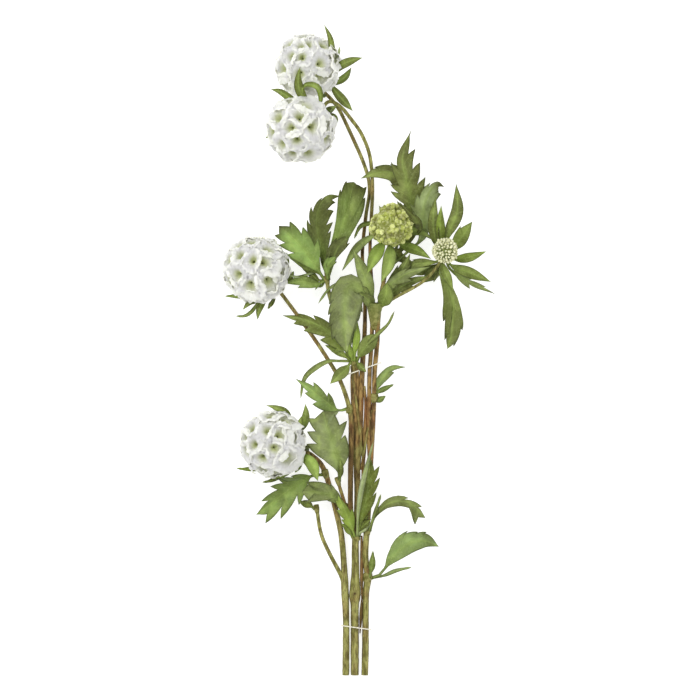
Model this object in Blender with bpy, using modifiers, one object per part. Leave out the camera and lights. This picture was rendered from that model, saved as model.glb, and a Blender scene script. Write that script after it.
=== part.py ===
"""A tied bunch of scabiosa, lying on a table.

Three cut stems carry four white seed heads, one green half-open head and one bud, with toothed
leaves at their nodes. Metres, +Z up. The bunch lies along Y with its cut ends at -Y, and its
underside is at Z = 0.

Plan positions are read off a drawing grid: x to the right and y towards the cut ends, GRID metres
a step. Heights, widths and radii are in millimetres.
"""

import math
import random

import bmesh
import bpy
from mathutils import Matrix, Vector

# Driving dimensions
MM = 0.001
GRID = 0.9 * MM
PLAN_MIDDLE = (359.3, 350.4)
BLADE_THICKNESS = 0.7 * MM
CLEARANCE = 0.3 * MM
COLLAR_WALL = 1.7 * MM
COLLAR_LENGTH = 4.5 * MM
COLLAR_SIDES = 6
THREAD_RADIUS = 0.45 * MM
THREAD_STEPS = 18
WELD = 0.0005 * MM
FLAT_ANGLE = math.radians(0.6)
GOLDEN_ANGLE = math.pi * (3.0 - math.sqrt(5.0))
UP = Vector((0.0, 0.0, 1.0))

# White heads: centre on the grid, height of the centre, radius, axis from the stem to the crown,
# and the tips of the bracts that stand out past the head (grid x, grid y, height, width)
WHITE_HEADS = {
    "top": {
        "stems": ("middle", "right"),
        "centre": (308.0, 66.0, 26.4), "radius": 28.0, "axis": (-0.35, 0.62, 0.7),
        "tips": [(324, 25, 36, 5.5), (363, 58, 30, 7.5), (352, 68, 17, 6.5), (354, 110, 17, 7.5)],
    },
    "upper": {
        "stems": ("right",),
        "centre": (300.5, 130.5, 48.0), "radius": 29.6, "axis": (-0.5, -0.45, 0.74),
        "tips": [(300.4, 70, 70, 7.5), (270.8, 90, 44, 7.0), (265, 139, 30, 6.0), (336, 127, 38, 5.0)],
    },
    "left": {
        "stems": ("middle",),
        "centre": (257.0, 270.0, 27.2), "radius": 29.0, "axis": (-0.54, 0.48, 0.69),
        "tips": [(242, 311, 22, 6.0), (257, 319, 24, 5.5), (224, 296, 9, 6.0), (268, 309, 33, 5.0)],
    },
    "lower": {
        "stems": ("left",),
        "centre": (273.0, 443.5, 27.2), "radius": 29.0, "axis": (-0.7, 0.1, 0.7),
        "tips": [(265.8, 405, 30, 6.0), (305, 403.5, 28, 7.5), (236, 468, 22, 5.5),
                 (262, 482, 30, 5.0)],
    },
}
CORE_SHARE = 0.74
CUPS_ON_A_BALL = 40
CUP_REACH = math.radians(128.0)
CUP_SIDES = 6
CUP_RIM = 7.4 * MM
CUP_ROOT = 3.0 * MM
THROAT_SHARE = 0.77
ROOT_SHARE = 0.5
RUFFLE = 0.1
LIFT = 6.0 * MM
DISC_RADIUS = 5.2 * MM
DISC_THICKNESS = 3.0 * MM
DISC_SIDES = 8
NECK_LENGTH = 7.0 * MM
NECK_RADIUS = 1.75 * MM

# Ring of bracts under a white head
RING_BRACTS = 7
RING_WIDTH = 6.0
RING_POLAR = (math.radians(112.0), math.radians(124.0))
RING_OVERHANG = (3.0 * MM, 5.0 * MM)
TIP_SPREAD = 0.5
FOLDED_UNDER_POLAR = math.radians(156.0)
FOLDED_UNDER_DEPTH = 4.5 * MM
FIRST_POLAR = math.radians(169.0)
BRACT_LIFT = 2.2 * MM
BRACT_FLOOR = 1.2 * MM

# Green head and bud
GREEN_HEAD = {"centre": (391.5, 226.5, 39.0), "radius": 20.3, "axis": (0.08, 0.4, 0.91)}
FLORETS_ON_A_BALL = 36
FLORET_REACH = math.radians(125.0)
FLORET_ROOT = 2.0 * MM
FLORET_RIM = 5.0 * MM
FLORET_DEPTH = 2.2 * MM
BUD = {"centre": (445.0, 251.0, 42.0), "radius": 11.2, "axis": (0.05, 0.2, 0.98)}
KNOBS_ON_A_BALL = 26
KNOB_REACH = math.radians(135.0)
KNOB_ROOT = 1.3 * MM
KNOB_RIM = 2.7 * MM

# Stems: grid x, grid y, height and radius of each point, from the cut end up
STEM_LEFT = [
    (345.7, 676, 3.1, 3.0), (346, 648, 4.0, 3.0), (346, 618, 5.4, 2.9), (344.9, 590, 6.0, 3.5),
    (344, 566, 6.0, 2.8), (341.5, 537, 7.0, 2.7), (337, 515, 8.0, 2.5), (331, 492, 9.0, 2.4),
    (324, 470, 9.5, 2.3), (315, 458, 9.0, 2.1),
]
BRANCH_THIN = [
    (344.5, 588, 6.0, 1.8), (341, 576, 7.0, 1.9), (330.6, 556, 8.5, 1.8), (321, 534, 9.5, 1.7),
    (316.3, 506, 9.0, 1.6),
]
STEM_MIDDLE = [
    (354.8, 676, 3.5, 3.4), (354.8, 648, 4.2, 3.4), (354.8, 618, 5.6, 3.3), (354.9, 594, 6.4, 4.9),
    (355.3, 574, 7.0, 3.3), (355.5, 541, 8.5, 3.2), (357.5, 500, 10.0, 3.0), (356.5, 460, 11.5, 3.0),
    (354.6, 410, 14.0, 3.1), (353.8, 380, 15.0, 3.0), (354, 361, 16.5, 2.7), (346, 340, 18.5, 2.2),
    (338, 318, 20.5, 2.0), (329.5, 295, 22.5, 1.9), (326, 272, 24.0, 1.7),
]
BRANCH_HEAD_LEFT = [
    (355.0, 538, 9.0, 2.3), (351.0, 518, 14.5, 2.3), (350.5, 480, 17.5, 2.4), (351, 440, 18.5, 2.4),
    (350, 412, 18.5, 2.2), (341, 382.6, 16.5, 1.9), (327.4, 358.7, 14.5, 1.8), (306, 327, 12.0, 1.7),
]
BRANCH_LEAF_NODE = [
    (355.3, 545, 8.5, 1.7), (350, 520, 9.5, 1.7), (344.5, 503, 11.0, 1.6), (337.5, 480, 13.0, 1.6),
]
STEM_RIGHT = [
    (364.8, 676, 3.1, 3.0), (365.4, 648, 4.0, 3.0), (365.6, 618, 5.4, 2.9), (366, 594, 6.2, 2.9),
    (368, 576, 7.0, 3.3), (365.5, 558, 8.0, 2.7), (366.5, 534, 9.5, 2.7), (369, 500, 11.5, 2.6),
    (370.5, 460, 13.5, 2.7), (372.5, 430, 15.0, 2.4), (374, 400, 16.5, 2.1), (374.6, 372, 18.0, 2.1),
    (377, 345, 19.5, 2.1), (378.5, 312, 21.5, 2.3), (384, 280, 20.5, 1.9), (388.5, 256, 18.5, 1.8),
]
BRANCH_HEAD_TOP = [
    (357.5, 475, 11.5, 2.2), (359.5, 440, 13.0, 2.6), (360.8, 400, 14.0, 2.7), (362.5, 365, 14.5, 2.4),
    (364.5, 335, 15.5, 2.1), (365, 305, 16.5, 1.8), (363.5, 275, 16.0, 1.6), (362.5, 250, 15.5, 1.6),
    (366, 215, 14.5, 1.6), (369.5, 190, 14.0, 1.6), (365.5, 168, 13.5, 1.6), (351, 134, 11.0, 1.6),
    (337, 106, 7.5, 1.6),
]
BRANCH_HEAD_UPPER = [
    (370, 462, 13.5, 2.0), (368.8, 430, 15.5, 2.1), (369.2, 400, 17.0, 2.0), (369.6, 372, 18.5, 2.0),
    (371.4, 345, 20.0, 1.9), (372.5, 310, 21.5, 1.8), (371.8, 284, 22.0, 1.6), (370, 250, 20.5, 1.6),
    (371.5, 215, 20.5, 1.6), (372.5, 186, 20.5, 1.6), (370, 157, 20.5, 1.6), (362, 135, 21.5, 1.6),
    (351, 119, 22.0, 1.6), (339, 105.5, 22.0, 1.6), (328, 102, 21.5, 1.6),
]
BRANCH_BUD = [
    (377, 309, 21.5, 1.9), (392.5, 299, 24.0, 1.5), (421, 283, 26.0, 1.4), (437, 267, 26.0, 1.4),
]

# Leaf outline: bluntness of the sides, reach and flare of the teeth, half width of the stalk
BLUNTNESS = 0.8
TOOTH_REACH = 1.12
TOOTH_ROOT = 0.85
TOOTH_FLARE = 1.04
LAST_TOOTH = 0.97
STALK_HALF = 1.1 * MM

# Leaves: route of the midrib (grid x, grid y, height), width, outline and teeth
LEAVES = {
    "leaves_bud": {
        "collar": (444.6, 256.0, 25.5, 1.6), "stem": "right", "colour": "leaf_green",
        "blades": [
            {"route": [(447, 236, 31), (452, 210, 37), (456, 184, 36)], "width": 11.5, "peak": 0.5},
            {"route": [(441, 240, 31), (440, 222, 39), (441, 206, 41)], "width": 9.0},
            {"route": [(436, 243, 31), (432, 221, 37), (435.6, 196.5, 37)], "width": 8.0},
            {"route": [(454, 247, 29), (464, 234, 36), (472, 222, 38)], "width": 12.5, "teeth": 2},
            {"route": [(457, 259, 30), (471, 257, 34), (486, 251.6, 35)], "width": 8.5},
            {"route": [(452, 266, 27), (470, 274, 28), (491, 282, 25)], "width": 10.0},
            {"route": [(451, 270, 21), (472, 283, 20), (494.6, 293.7, 17)], "width": 6.5, "teeth": 3},
            {"route": [(438, 270, 29), (444, 285, 31), (452, 304, 26), (454, 326, 14), (447.6, 349, 1.5)],
             "width": 20.0, "teeth": 4, "peak": 0.42, "fold": -8},
            {"route": [(442, 269, 32), (446, 280, 35), (451, 290, 34)], "width": 6.5},
            {"route": [(437, 263, 21), (430, 274, 20), (423, 282, 18)], "width": 8.5, "teeth": 2},
        ],
    },
    "leaves_upper_right": {
        "collar": (386.5, 267.0, 19.7, 1.9), "stem": "right", "colour": "leaf_olive",
        "blades": [
            {"route": [(400, 238, 14), (411, 208, 15), (408, 180, 22), (405, 158, 27), (411, 132, 26)],
             "width": 21.0, "teeth": 4, "depth": 0.5, "stalk": 0.4, "peak": 0.35},
            {"route": [(396, 232, 13), (402, 200, 16), (396, 180, 26), (379, 174, 30), (363, 178.5, 28)],
             "width": 13.0, "teeth": 3, "stalk": 0.45},
            {"route": [(405, 240, 11), (418, 208, 10), (425, 177, 12)], "width": 12.5, "teeth": 3,
             "stalk": 0.25},
            {"route": [(410, 250, 16), (424, 229, 21), (428, 208, 27), (434, 193, 29), (441, 187, 26)],
             "width": 15.0, "teeth": 3, "stalk": 0.3},
            {"route": [(396, 262, 16), (404, 258, 15), (413, 262, 13)], "width": 9.0},
        ],
    },
    "leaves_left_cluster": {
        "collar": (327.0, 280.0, 23.5, 1.8), "stem": "middle", "colour": "leaf_light",
        "blades": [
            {"route": [(316, 268, 27), (303, 252, 31), (291, 237, 32), (282, 224, 29)], "width": 26.0,
             "teeth": 4, "peak": 0.5},
            {"route": [(321, 258, 20), (318, 232, 18), (317, 212, 23), (325, 199, 26), (338, 196, 22)],
             "width": 14.0, "teeth": 4, "peak": 0.5},
            {"route": [(332, 255, 29), (341, 231, 32), (348, 208, 34), (352, 190, 31), (354, 182, 25)],
             "width": 26.0, "teeth": 5, "stalk": 0.25, "peak": 0.6},
            {"route": [(331, 263, 30), (338, 254, 31)], "width": 6.5},
            {"route": [(314, 281, 26), (301, 283, 25), (288, 285.5, 22)], "width": 11.0, "teeth": 2},
            {"route": [(313, 271, 22), (300, 264, 21), (291, 260, 19)], "width": 7.0},
        ],
    },
    "leaves_middle": {
        "collar": (354.0, 361.0, 16.4, 2.8), "stem": "middle", "colour": "leaf_green",
        "blades": [
            {"route": [(342, 345, 24), (323, 328, 26), (303, 319, 25), (284, 315.5, 21)], "width": 17.0,
             "teeth": 4},
            {"route": [(345, 356, 21), (335, 350, 22), (325, 345, 21)], "width": 6.5},
            {"route": [(357, 347, 24), (358, 335, 27), (356.6, 321, 27)], "width": 6.0},
            {"route": [(364, 351, 25), (373, 341, 28), (382, 330, 28), (394, 312, 26)], "width": 11.0,
             "peak": 0.35},
            {"route": [(341, 361, 21), (327, 361.6, 23), (311, 371, 24), (303.5, 381, 22), (300.6, 399, 18)],
             "width": 6.0},
            {"route": [(346, 369, 22), (338, 376, 24), (330, 384, 24)], "width": 10.5},
            {"route": [(360, 366, 22), (366, 372, 24)], "width": 5.5},
        ],
    },
    "leaves_sheath": {
        "collar": (377.8, 311.0, 21.4, 2.8), "stem": "right", "colour": "leaf_grey",
        "blades": [
            {"route": [(369, 290, 27), (361, 270, 31), (353, 250, 31)], "width": 10.5},
            {"route": [(379, 302, 26), (381, 293, 30), (384, 283, 31)], "width": 13.0, "fold": 25},
            {"route": [(368, 301, 26), (361, 294, 27)], "width": 7.0, "fold": 25},
            {"route": [(365, 291, 24.5), (351, 283, 26), (338, 284, 27.5), (328, 290, 27.5),
                       (318, 304, 26)], "width": 4.5},
            {"route": [(366, 291, 30), (353, 292, 34), (345, 305, 35), (343, 322, 33), (346, 345, 30)],
             "width": 27.0, "teeth": 4, "peak": 0.4, "stalk": 0.36},
            {"route": [(388, 287, 27), (404, 275, 32), (418, 270, 33), (430, 267, 33)], "width": 9.5,
             "teeth": 3},
        ],
    },
    "leaves_lower_left": {
        "collar": (338.0, 481.5, 12.9, 1.6), "stem": "middle", "colour": "leaf_grey",
        "blades": [
            {"route": [(337, 465, 19), (331, 445, 26), (324, 428, 30), (318, 412, 31)], "width": 27.0,
             "teeth": 4, "depth": 0.45, "peak": 0.62},
            {"route": [(341, 470, 20), (340, 461, 23)], "width": 5.0},
        ],
    },
    "leaf_lower_large": {
        "collar": (325.5, 474.0, 9.4, 2.4), "stem": "left", "colour": "leaf_light",
        "blades": [
            {"route": [(312, 476, 14), (300, 482, 17), (278, 498, 14), (255, 516, 4)], "width": 27.0,
             "teeth": 5, "depth": 0.42, "stalk": 0.2, "peak": 0.45},
        ],
    },
    "leaf_folded": {
        "collar": (346.3, 508.0, 10.6, 1.7), "stem": "middle", "colour": "leaf_grey",
        "blades": [
            {"route": [(338, 499, 18), (325, 492, 22), (309, 488, 22)], "width": 16.0, "teeth": 3,
             "fold": 22},
        ],
    },
    "leaf_thin_branch": {
        "collar": (316.6, 509.0, 9.1, 1.7), "stem": "left", "colour": "leaf_olive",
        "blades": [
            {"route": [(309, 505, 11), (299, 503, 9)], "width": 6.0},
        ],
    },
    "leaf_mid_left": {
        "collar": (349.3, 409.0, 18.3, 2.2), "stem": "middle", "colour": "leaf_light",
        "blades": [
            {"route": [(337, 410, 21), (323, 399, 25), (309, 388, 25), (296, 379, 22)], "width": 16.0,
             "teeth": 4, "stalk": 0.2},
        ],
    },
    "leaf_mid_right": {
        "collar": (374.0, 398.0, 16.6, 2.5), "stem": "right", "colour": "leaf_light",
        "blades": [
            {"route": [(384, 389, 15), (394, 379, 16), (406, 367, 17)], "width": 10.0, "teeth": 3,
             "depth": 0.6, "stalk": 0.2},
        ],
    },
    "leaves_lower_middle": {
        "collar": (355.7, 537.0, 8.6, 3.2), "stem": "middle", "colour": "leaf_green",
        "blades": [
            {"route": [(361, 520, 19), (367, 500, 25), (370, 480, 27), (369, 462, 26)], "width": 19.0,
             "teeth": 4, "stalk": 0.2, "peak": 0.6},
            {"route": [(358, 514, 24), (361, 491, 32), (367, 465, 33), (373.5, 441, 30)], "width": 5.0},
            {"route": [(350, 522, 19), (344, 508, 24), (338, 495, 26)], "width": 10.5, "teeth": 3},
            {"route": [(347, 528, 14), (341, 524, 14)], "width": 5.5},
        ],
    },
    "leaf_arching": {
        "collar": (367.0, 531.0, 9.7, 2.7), "stem": "right", "colour": "leaf_green",
        "blades": [
            {"route": [(374.6, 517, 15), (386, 505, 21), (401, 501, 24), (415, 507, 21), (425.4, 518, 15)],
             "width": 8.0, "teeth": 3},
            {"route": [(375.6, 511, 20), (381, 494, 24)], "width": 4.0},
        ],
    },
    "leaves_right_lower": {
        "collar": (367.6, 578.0, 6.9, 3.3), "stem": "right", "colour": "leaf_light",
        "blades": [
            {"route": [(381, 574, 10), (394, 557, 14), (410, 544, 15), (425, 542, 11), (439, 547, 3)],
             "width": 18.0, "teeth": 5, "peak": 0.5, "stalk": 0.2},
            {"route": [(384, 576, 8), (396, 571, 9), (412, 567.6, 6)], "width": 4.5},
            {"route": [(372, 566, 13), (373, 551, 15)], "width": 5.5},
        ],
    },
}

# Bracts of the green head, from its disc outwards
GREEN_BRACTS = [
    {"route": [(374, 224, 25), (361, 226, 29), (354, 239, 27)], "width": 4.5},
    {"route": [(373, 236, 26), (358, 250, 25), (342, 271, 22)], "width": 7.0},
    {"route": [(382, 245, 29), (375, 258, 35), (367, 274, 35)], "width": 12.0},
    {"route": [(390, 247, 30), (388, 262, 37), (381, 281, 38)], "width": 12.0},
    {"route": [(403, 245, 23), (418, 251, 28), (431, 259, 28)], "width": 9.0},
    {"route": [(403, 230, 18), (413, 231, 23), (423, 233, 25), (433, 239, 24)], "width": 7.0},
    {"route": [(387, 219, 17), (381, 206, 23)], "width": 7.0},
    {"route": [(402, 215, 17), (410, 202, 21)], "width": 7.5},
]

# Tie threads: middle of the loop (grid x, grid y, height), half width, half height, slant on plan
TIES = {
    "tie_lower": {"middle": (355.7, 628, 5.2), "half_width": 13.4, "half_height": 4.3, "slant": -0.14},
    "tie_upper": {"middle": (364.4, 368.5, 16.2), "half_width": 14.6, "half_height": 5.8, "slant": 0.36},
}

# Colour, roughness and metallic value of each material
COLOURS = {
    "stem": ((0.26, 0.25, 0.08), 0.7), "leaf_green": ((0.16, 0.25, 0.06), 0.6),
    "leaf_olive": ((0.15, 0.2, 0.06), 0.6), "leaf_light": ((0.25, 0.34, 0.13), 0.6),
    "leaf_grey": ((0.24, 0.3, 0.15), 0.65), "bract": ((0.18, 0.25, 0.06), 0.6),
    "cup": ((0.84, 0.84, 0.78), 0.8), "floret": ((0.5, 0.58, 0.2), 0.75),
    "bud": ((0.66, 0.66, 0.42), 0.75), "thread": ((0.75, 0.68, 0.45), 0.8),
}


def clear_scene():
    for old in list(bpy.data.objects):
        bpy.data.objects.remove(old, do_unlink=True)


def new_collection(name):
    group = bpy.data.collections.new(name)
    bpy.context.scene.collection.children.link(group)
    return group


def material(name):
    """The named material, made at its first use."""
    found = bpy.data.materials.get(name)
    if found:
        return found
    colour, roughness = COLOURS[name]
    made = bpy.data.materials.new(name)
    made.use_nodes = True
    shader = made.node_tree.nodes["Principled BSDF"]
    shader.inputs["Base Color"].default_value = (*colour, 1.0)
    shader.inputs["Roughness"].default_value = roughness
    shader.inputs["Metallic"].default_value = 0.0
    return made


def place(x, y, height):
    """A point of the drawing grid, at a height in millimetres, in metres."""
    across = (x - PLAN_MIDDLE[0]) * GRID
    along = (PLAN_MIDDLE[1] - y) * GRID
    return Vector((across, along, height * MM))


def smooth(points, steps):
    """Points on a smooth curve through the given ones, steps to each span."""
    ends = [2.0 * points[0] - points[1]] + points + [2.0 * points[-1] - points[-2]]
    out = []
    for i in range(len(points) - 1):
        a, b, c, d = ends[i:i + 4]
        for step in range(steps):
            t = step / steps
            out.append(0.5 * (2.0 * b + (c - a) * t + (2.0 * a - 5.0 * b + 4.0 * c - d) * t * t
                              + (3.0 * b - a - 3.0 * c + d) * t ** 3))
    return out + [points[-1]]


def point_along(line, share):
    """The point at a share of a polyline's length."""
    lengths = [(b - a).length for a, b in zip(line, line[1:])]
    left = share * sum(lengths)
    for a, b, length in zip(line, line[1:], lengths):
        if left <= length:
            return a.lerp(b, left / length)
        left -= length
    return line[-1].copy()


def tangent_along(line, share):
    """Direction of a polyline at a share of its length."""
    step = 0.02
    before = point_along(line, max(0.0, share - step))
    after = point_along(line, min(1.0, share + step))
    return (after - before).normalized()


def mesh_object(name, bm, group):
    """A new object that holds the bmesh, with its normals out."""
    bmesh.ops.recalc_face_normals(bm, faces=bm.faces)
    mesh = bpy.data.meshes.new(name)
    bm.to_mesh(mesh)
    bm.free()
    made = bpy.data.objects.new(name, mesh)
    group.objects.link(made)
    return made


def bake(made, group, name):
    """The object's evaluated mesh in world space, as a welded object of that name."""
    bpy.context.view_layer.update()
    evaluated = made.evaluated_get(bpy.context.evaluated_depsgraph_get())
    mesh = bpy.data.meshes.new_from_object(evaluated)
    mesh.transform(made.matrix_world)
    bpy.data.objects.remove(made, do_unlink=True)
    bm = bmesh.new()
    bm.from_mesh(mesh)
    bpy.data.meshes.remove(mesh)
    tidy(bm)
    return mesh_object(name, bm, group)


def tidy(bm):
    """Weld what touches, split flat regions into as few triangles as they need, drop loose scraps."""
    bmesh.ops.remove_doubles(bm, verts=bm.verts, dist=WELD)
    bmesh.ops.dissolve_degenerate(bm, edges=bm.edges, dist=WELD)
    bmesh.ops.dissolve_limit(bm, angle_limit=FLAT_ANGLE, verts=bm.verts, edges=bm.edges)
    bmesh.ops.triangulate(bm, faces=bm.faces)
    pieces = islands(bm)
    largest = max(pieces, key=len)
    scraps = [vert for piece in pieces if piece is not largest for vert in piece]
    bmesh.ops.delete(bm, geom=scraps, context="VERTS")


def islands(bm):
    """Lists of the vertices that hang together."""
    seen = set()
    out = []
    for start in bm.verts:
        if start in seen:
            continue
        piece = []
        queue = [start]
        seen.add(start)
        while queue:
            vert = queue.pop()
            piece.append(vert)
            for edge in vert.link_edges:
                other = edge.other_vert(vert)
                if other not in seen:
                    seen.add(other)
                    queue.append(other)
        out.append(piece)
    return out


def fuse(name, first, others, group, solver="EXACT"):
    """One union of an object with a collection of others, applied."""
    joined = bpy.data.collections.new(name + "_parts")
    bpy.context.scene.collection.children.link(joined)
    for other in others:
        for owner in list(other.users_collection):
            owner.objects.unlink(other)
        joined.objects.link(other)
    union = first.modifiers.new("union", "BOOLEAN")
    union.operation = "UNION"
    union.solver = solver
    union.operand_type = "COLLECTION"
    union.collection = joined
    made = bake(first, group, name)
    for other in list(joined.objects):
        bpy.data.objects.remove(other, do_unlink=True)
    bpy.data.collections.remove(joined)
    return made


def cut(made, cutter, group, solver="EXACT"):
    """The object with the cutter's volume taken away."""
    name = made.name
    made.name = name + "_uncut"
    boolean = made.modifiers.new("cut", "BOOLEAN")
    boolean.operation = "DIFFERENCE"
    boolean.solver = solver
    boolean.object = cutter
    return bake(made, group, name)


def tube(name, route, grow, group, cyclic=False, resolution=1):
    """A tapered tube along a route of points with their radius as fourth value."""
    curve = bpy.data.curves.new(name, "CURVE")
    curve.dimensions = "3D"
    curve.bevel_depth = 1.0
    curve.bevel_resolution = resolution
    curve.use_fill_caps = True
    spline = curve.splines.new("POLY")
    spline.points.add(len(route) - 1)
    spline.use_cyclic_u = cyclic
    for point, step in zip(spline.points, route):
        point.co = (step[0], step[1], step[2], 1.0)
        point.radius = step[3] + grow
    made = bpy.data.objects.new(name + "_curve", curve)
    group.objects.link(made)
    return bake(made, group, name)


def stem_route(points, head=None, disc=True):
    """The route of a stem, ending square on the disc of its head, or on the bud itself."""
    route = [Vector((*place(x, y, z), radius * MM)) for x, y, z, radius in points]
    if head:
        centre, axis = head_frame(head)
        seat = core_radius(head) + CLEARANCE
        if disc:
            seat += DISC_THICKNESS + CLEARANCE
        for back in (NECK_LENGTH, 0.0):
            route.append(Vector((*(centre - axis * (seat + back)), NECK_RADIUS)))
    return route


def core_radius(head):
    """Radius of the ball that the cups of a head stand on."""
    return head["radius"] * MM * CORE_SHARE


def lengthen(route, extra):
    """The route with both its ends moved outwards."""
    first, last = (route[0] - route[1]).to_3d(), (route[-1] - route[-2]).to_3d()
    start = Vector((*(route[0].to_3d() + first.normalized() * extra), route[0][3]))
    end = Vector((*(route[-1].to_3d() + last.normalized() * extra), route[-1][3]))
    return [start] + route[1:-1] + [end]


def head_frame(head):
    """Centre of a head, and the direction from its stem to its crown."""
    return place(*head["centre"]), Vector(head["axis"]).normalized()


def side_frame(axis):
    """Two directions square to an axis, the first as level as can be."""
    across = axis.cross(UP)
    if across.length < 0.05:
        across = Vector((1.0, 0.0, 0.0))
    across.normalize()
    return across, axis.cross(across).normalized()


def flat_part(vector, axis):
    """The part of a vector that is square to an axis."""
    return vector - axis * vector.dot(axis)


def blade_share(share, peak, stalk):
    """Half width of a leaf at a share of its length, with 1 as the widest."""
    if share <= stalk:
        return 0.0
    t = (share - stalk) / (1.0 - stalk)
    return ((t / peak) ** peak * ((1.0 - t) / (1.0 - peak)) ** (1.0 - peak)) ** BLUNTNESS


def blade(name, line, width, group, teeth=0, depth=0.35, peak=0.45, stalk=0.12, fold=12.0,
          level=None, plain_stations=3):
    """A leaf: an open sheet along its midrib, notched between its teeth, made solid.

    Its width runs level, or along the direction given as level.
    """
    half = 0.5 * width * MM
    rise = math.tan(math.radians(fold))
    toothed = teeth > 0
    count = teeth + 1 if toothed else plain_stations
    stations = [0.0, max(stalk, 0.06)]
    stations += [stations[1] + (1.0 - stations[1]) * (i / (count + 0.8)) for i in range(1, count + 1)]
    bm = bmesh.new()

    def edge_point(share, wide, side):
        centre = point_along(line, share)
        forward = tangent_along(line, share)
        across = level if level else side_frame(forward)[0]
        normal = across.cross(forward)
        return centre + across * (side * wide) + normal * (wide * rise)

    def half_at(share):
        return max(STALK_HALF, half * blade_share(share, peak, stalk))

    middles = [bm.verts.new(point_along(line, share)) for share in stations]
    tip = bm.verts.new(line[-1])
    for side in (-1.0, 1.0):
        edges = []
        for i, share in enumerate(stations):
            wide = half_at(share)
            if toothed and i > 1:
                wide = max(STALK_HALF, wide * (1.0 - depth))
            edges.append(bm.verts.new(edge_point(share, wide, side)))
        for i in range(len(stations) - 1):
            bm.faces.new((middles[i], middles[i + 1], edges[i + 1]))
            bm.faces.new((middles[i], edges[i + 1], edges[i]))
            if toothed and i > 0:
                step = stations[i + 1] - stations[i]
                share = min(LAST_TOOTH, stations[i] + TOOTH_REACH * step)
                widest = half_at(stations[i] + TOOTH_ROOT * step) * TOOTH_FLARE
                wide = max(1.5 * STALK_HALF, widest)
                point = bm.verts.new(edge_point(share, wide, side))
                bm.faces.new((edges[i], edges[i + 1], point))
        bm.faces.new((middles[-1], tip, edges[-1]))
    sheet = mesh_object(name + "_sheet", bm, group)
    solid = sheet.modifiers.new("thickness", "SOLIDIFY")
    solid.thickness = BLADE_THICKNESS
    solid.offset = 0.0
    return bake(sheet, group, name)


def leaf_node(name, spec, stems, group, work):
    """A whorl: leaves fused at a collar that clasps the stem with a small clearance."""
    x, y, z, stem_radius = spec["collar"]
    centre = place(x, y, z)
    direction = nearest_direction(stems[spec["stem"]]["routes"], centre)
    collar = cylinder(name + "_collar", centre, direction, stem_radius * MM + COLLAR_WALL,
                      COLLAR_LENGTH, COLLAR_SIDES, work)
    parts = []
    for i, leaf in enumerate(spec["blades"]):
        options = {key: leaf[key] for key in leaf if key not in ("route", "width")}
        points = [place(*point) for point in leaf["route"]]
        away = flat_part(points[0] - centre, direction).normalized()
        root = centre + away * (stem_radius * MM + 0.5 * COLLAR_WALL)
        parts.append(blade("%s_blade_%d" % (name, i), smooth([root] + points, 6), leaf["width"],
                           work, **options))
    made = fuse(name, collar, parts, group, "MANIFOLD")
    made = cut(made, stems[spec["stem"]]["clearance"], group)
    made.data.materials.append(material(spec["colour"]))
    return made


def nearest_direction(routes, centre):
    """Direction of the stem at its nearest point to the centre."""
    best = None
    for route in routes:
        for a, b in zip(route, route[1:]):
            start, end = a.to_3d(), b.to_3d()
            gap = (centre - 0.5 * (start + end)).length
            if best is None or gap < best[0]:
                best = (gap, (end - start).normalized())
    return best[1]


def cylinder(name, centre, direction, radius, length, sides, group):
    """A prism round an axis, about its middle."""
    bm = bmesh.new()
    turn = direction.to_track_quat("Z", "Y").to_matrix().to_4x4()
    bmesh.ops.create_cone(bm, cap_ends=True, segments=sides, radius1=radius, radius2=radius,
                          depth=length, matrix=Matrix.Translation(centre) @ turn)
    return mesh_object(name, bm, group)


def ball(name, centre, axis, radius, group, segments=7, rings=5):
    """A faceted ball with its poles on an axis."""
    bm = bmesh.new()
    turn = axis.to_track_quat("Z", "Y").to_matrix().to_4x4()
    bmesh.ops.create_uvsphere(bm, u_segments=segments, v_segments=rings, radius=radius,
                              matrix=Matrix.Translation(centre) @ turn)
    return mesh_object(name, bm, group)


def ball_directions(count, reach, axis):
    """Directions spread evenly over a ball, from the crown out to the reach."""
    across, over = side_frame(axis)
    out = []
    for i in range(count):
        polar = math.acos(1.0 - 2.0 * (i + 0.5) / count)
        if polar > reach:
            break
        turn = i * GOLDEN_ANGLE
        sideways = across * math.cos(turn) + over * math.sin(turn)
        out.append(axis * math.cos(polar) + sideways * math.sin(polar))
    return out


def cup(name, centre, direction, root, rim, throat, sides, draw, group, lowest=None):
    """A flared cup: root ring in the core, a ruffled rim and a pit down to the throat."""
    across, over = side_frame(direction)
    phase = draw.uniform(0.0, 2.0 * math.pi)
    bm = bmesh.new()

    def ring(radius, height, ruffle):
        made = []
        for i in range(sides):
            turn = phase + 2.0 * math.pi * i / sides
            wave = 1.0 + ruffle * draw.uniform(-1.0, 1.0)
            lift = ruffle * draw.uniform(-LIFT, 0.5 * LIFT)
            spot = centre + direction * (height + lift)
            spot += (across * math.cos(turn) + over * math.sin(turn)) * (radius * wave)
            if lowest is not None:
                spot.z = max(spot.z, lowest)
            made.append(bm.verts.new(spot))
        return made

    foot = ring(root[0], root[1], 0.0)
    edge = ring(rim[0], rim[1], RUFFLE)
    pit = bm.verts.new(centre + direction * throat)
    bm.faces.new(foot)
    for i in range(sides):
        j = (i + 1) % sides
        bm.faces.new((foot[i], foot[j], edge[j], edge[i]))
        bm.faces.new((edge[i], edge[j], pit))
    bmesh.ops.triangulate(bm, faces=bm.faces)
    return mesh_object(name, bm, group)


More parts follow.
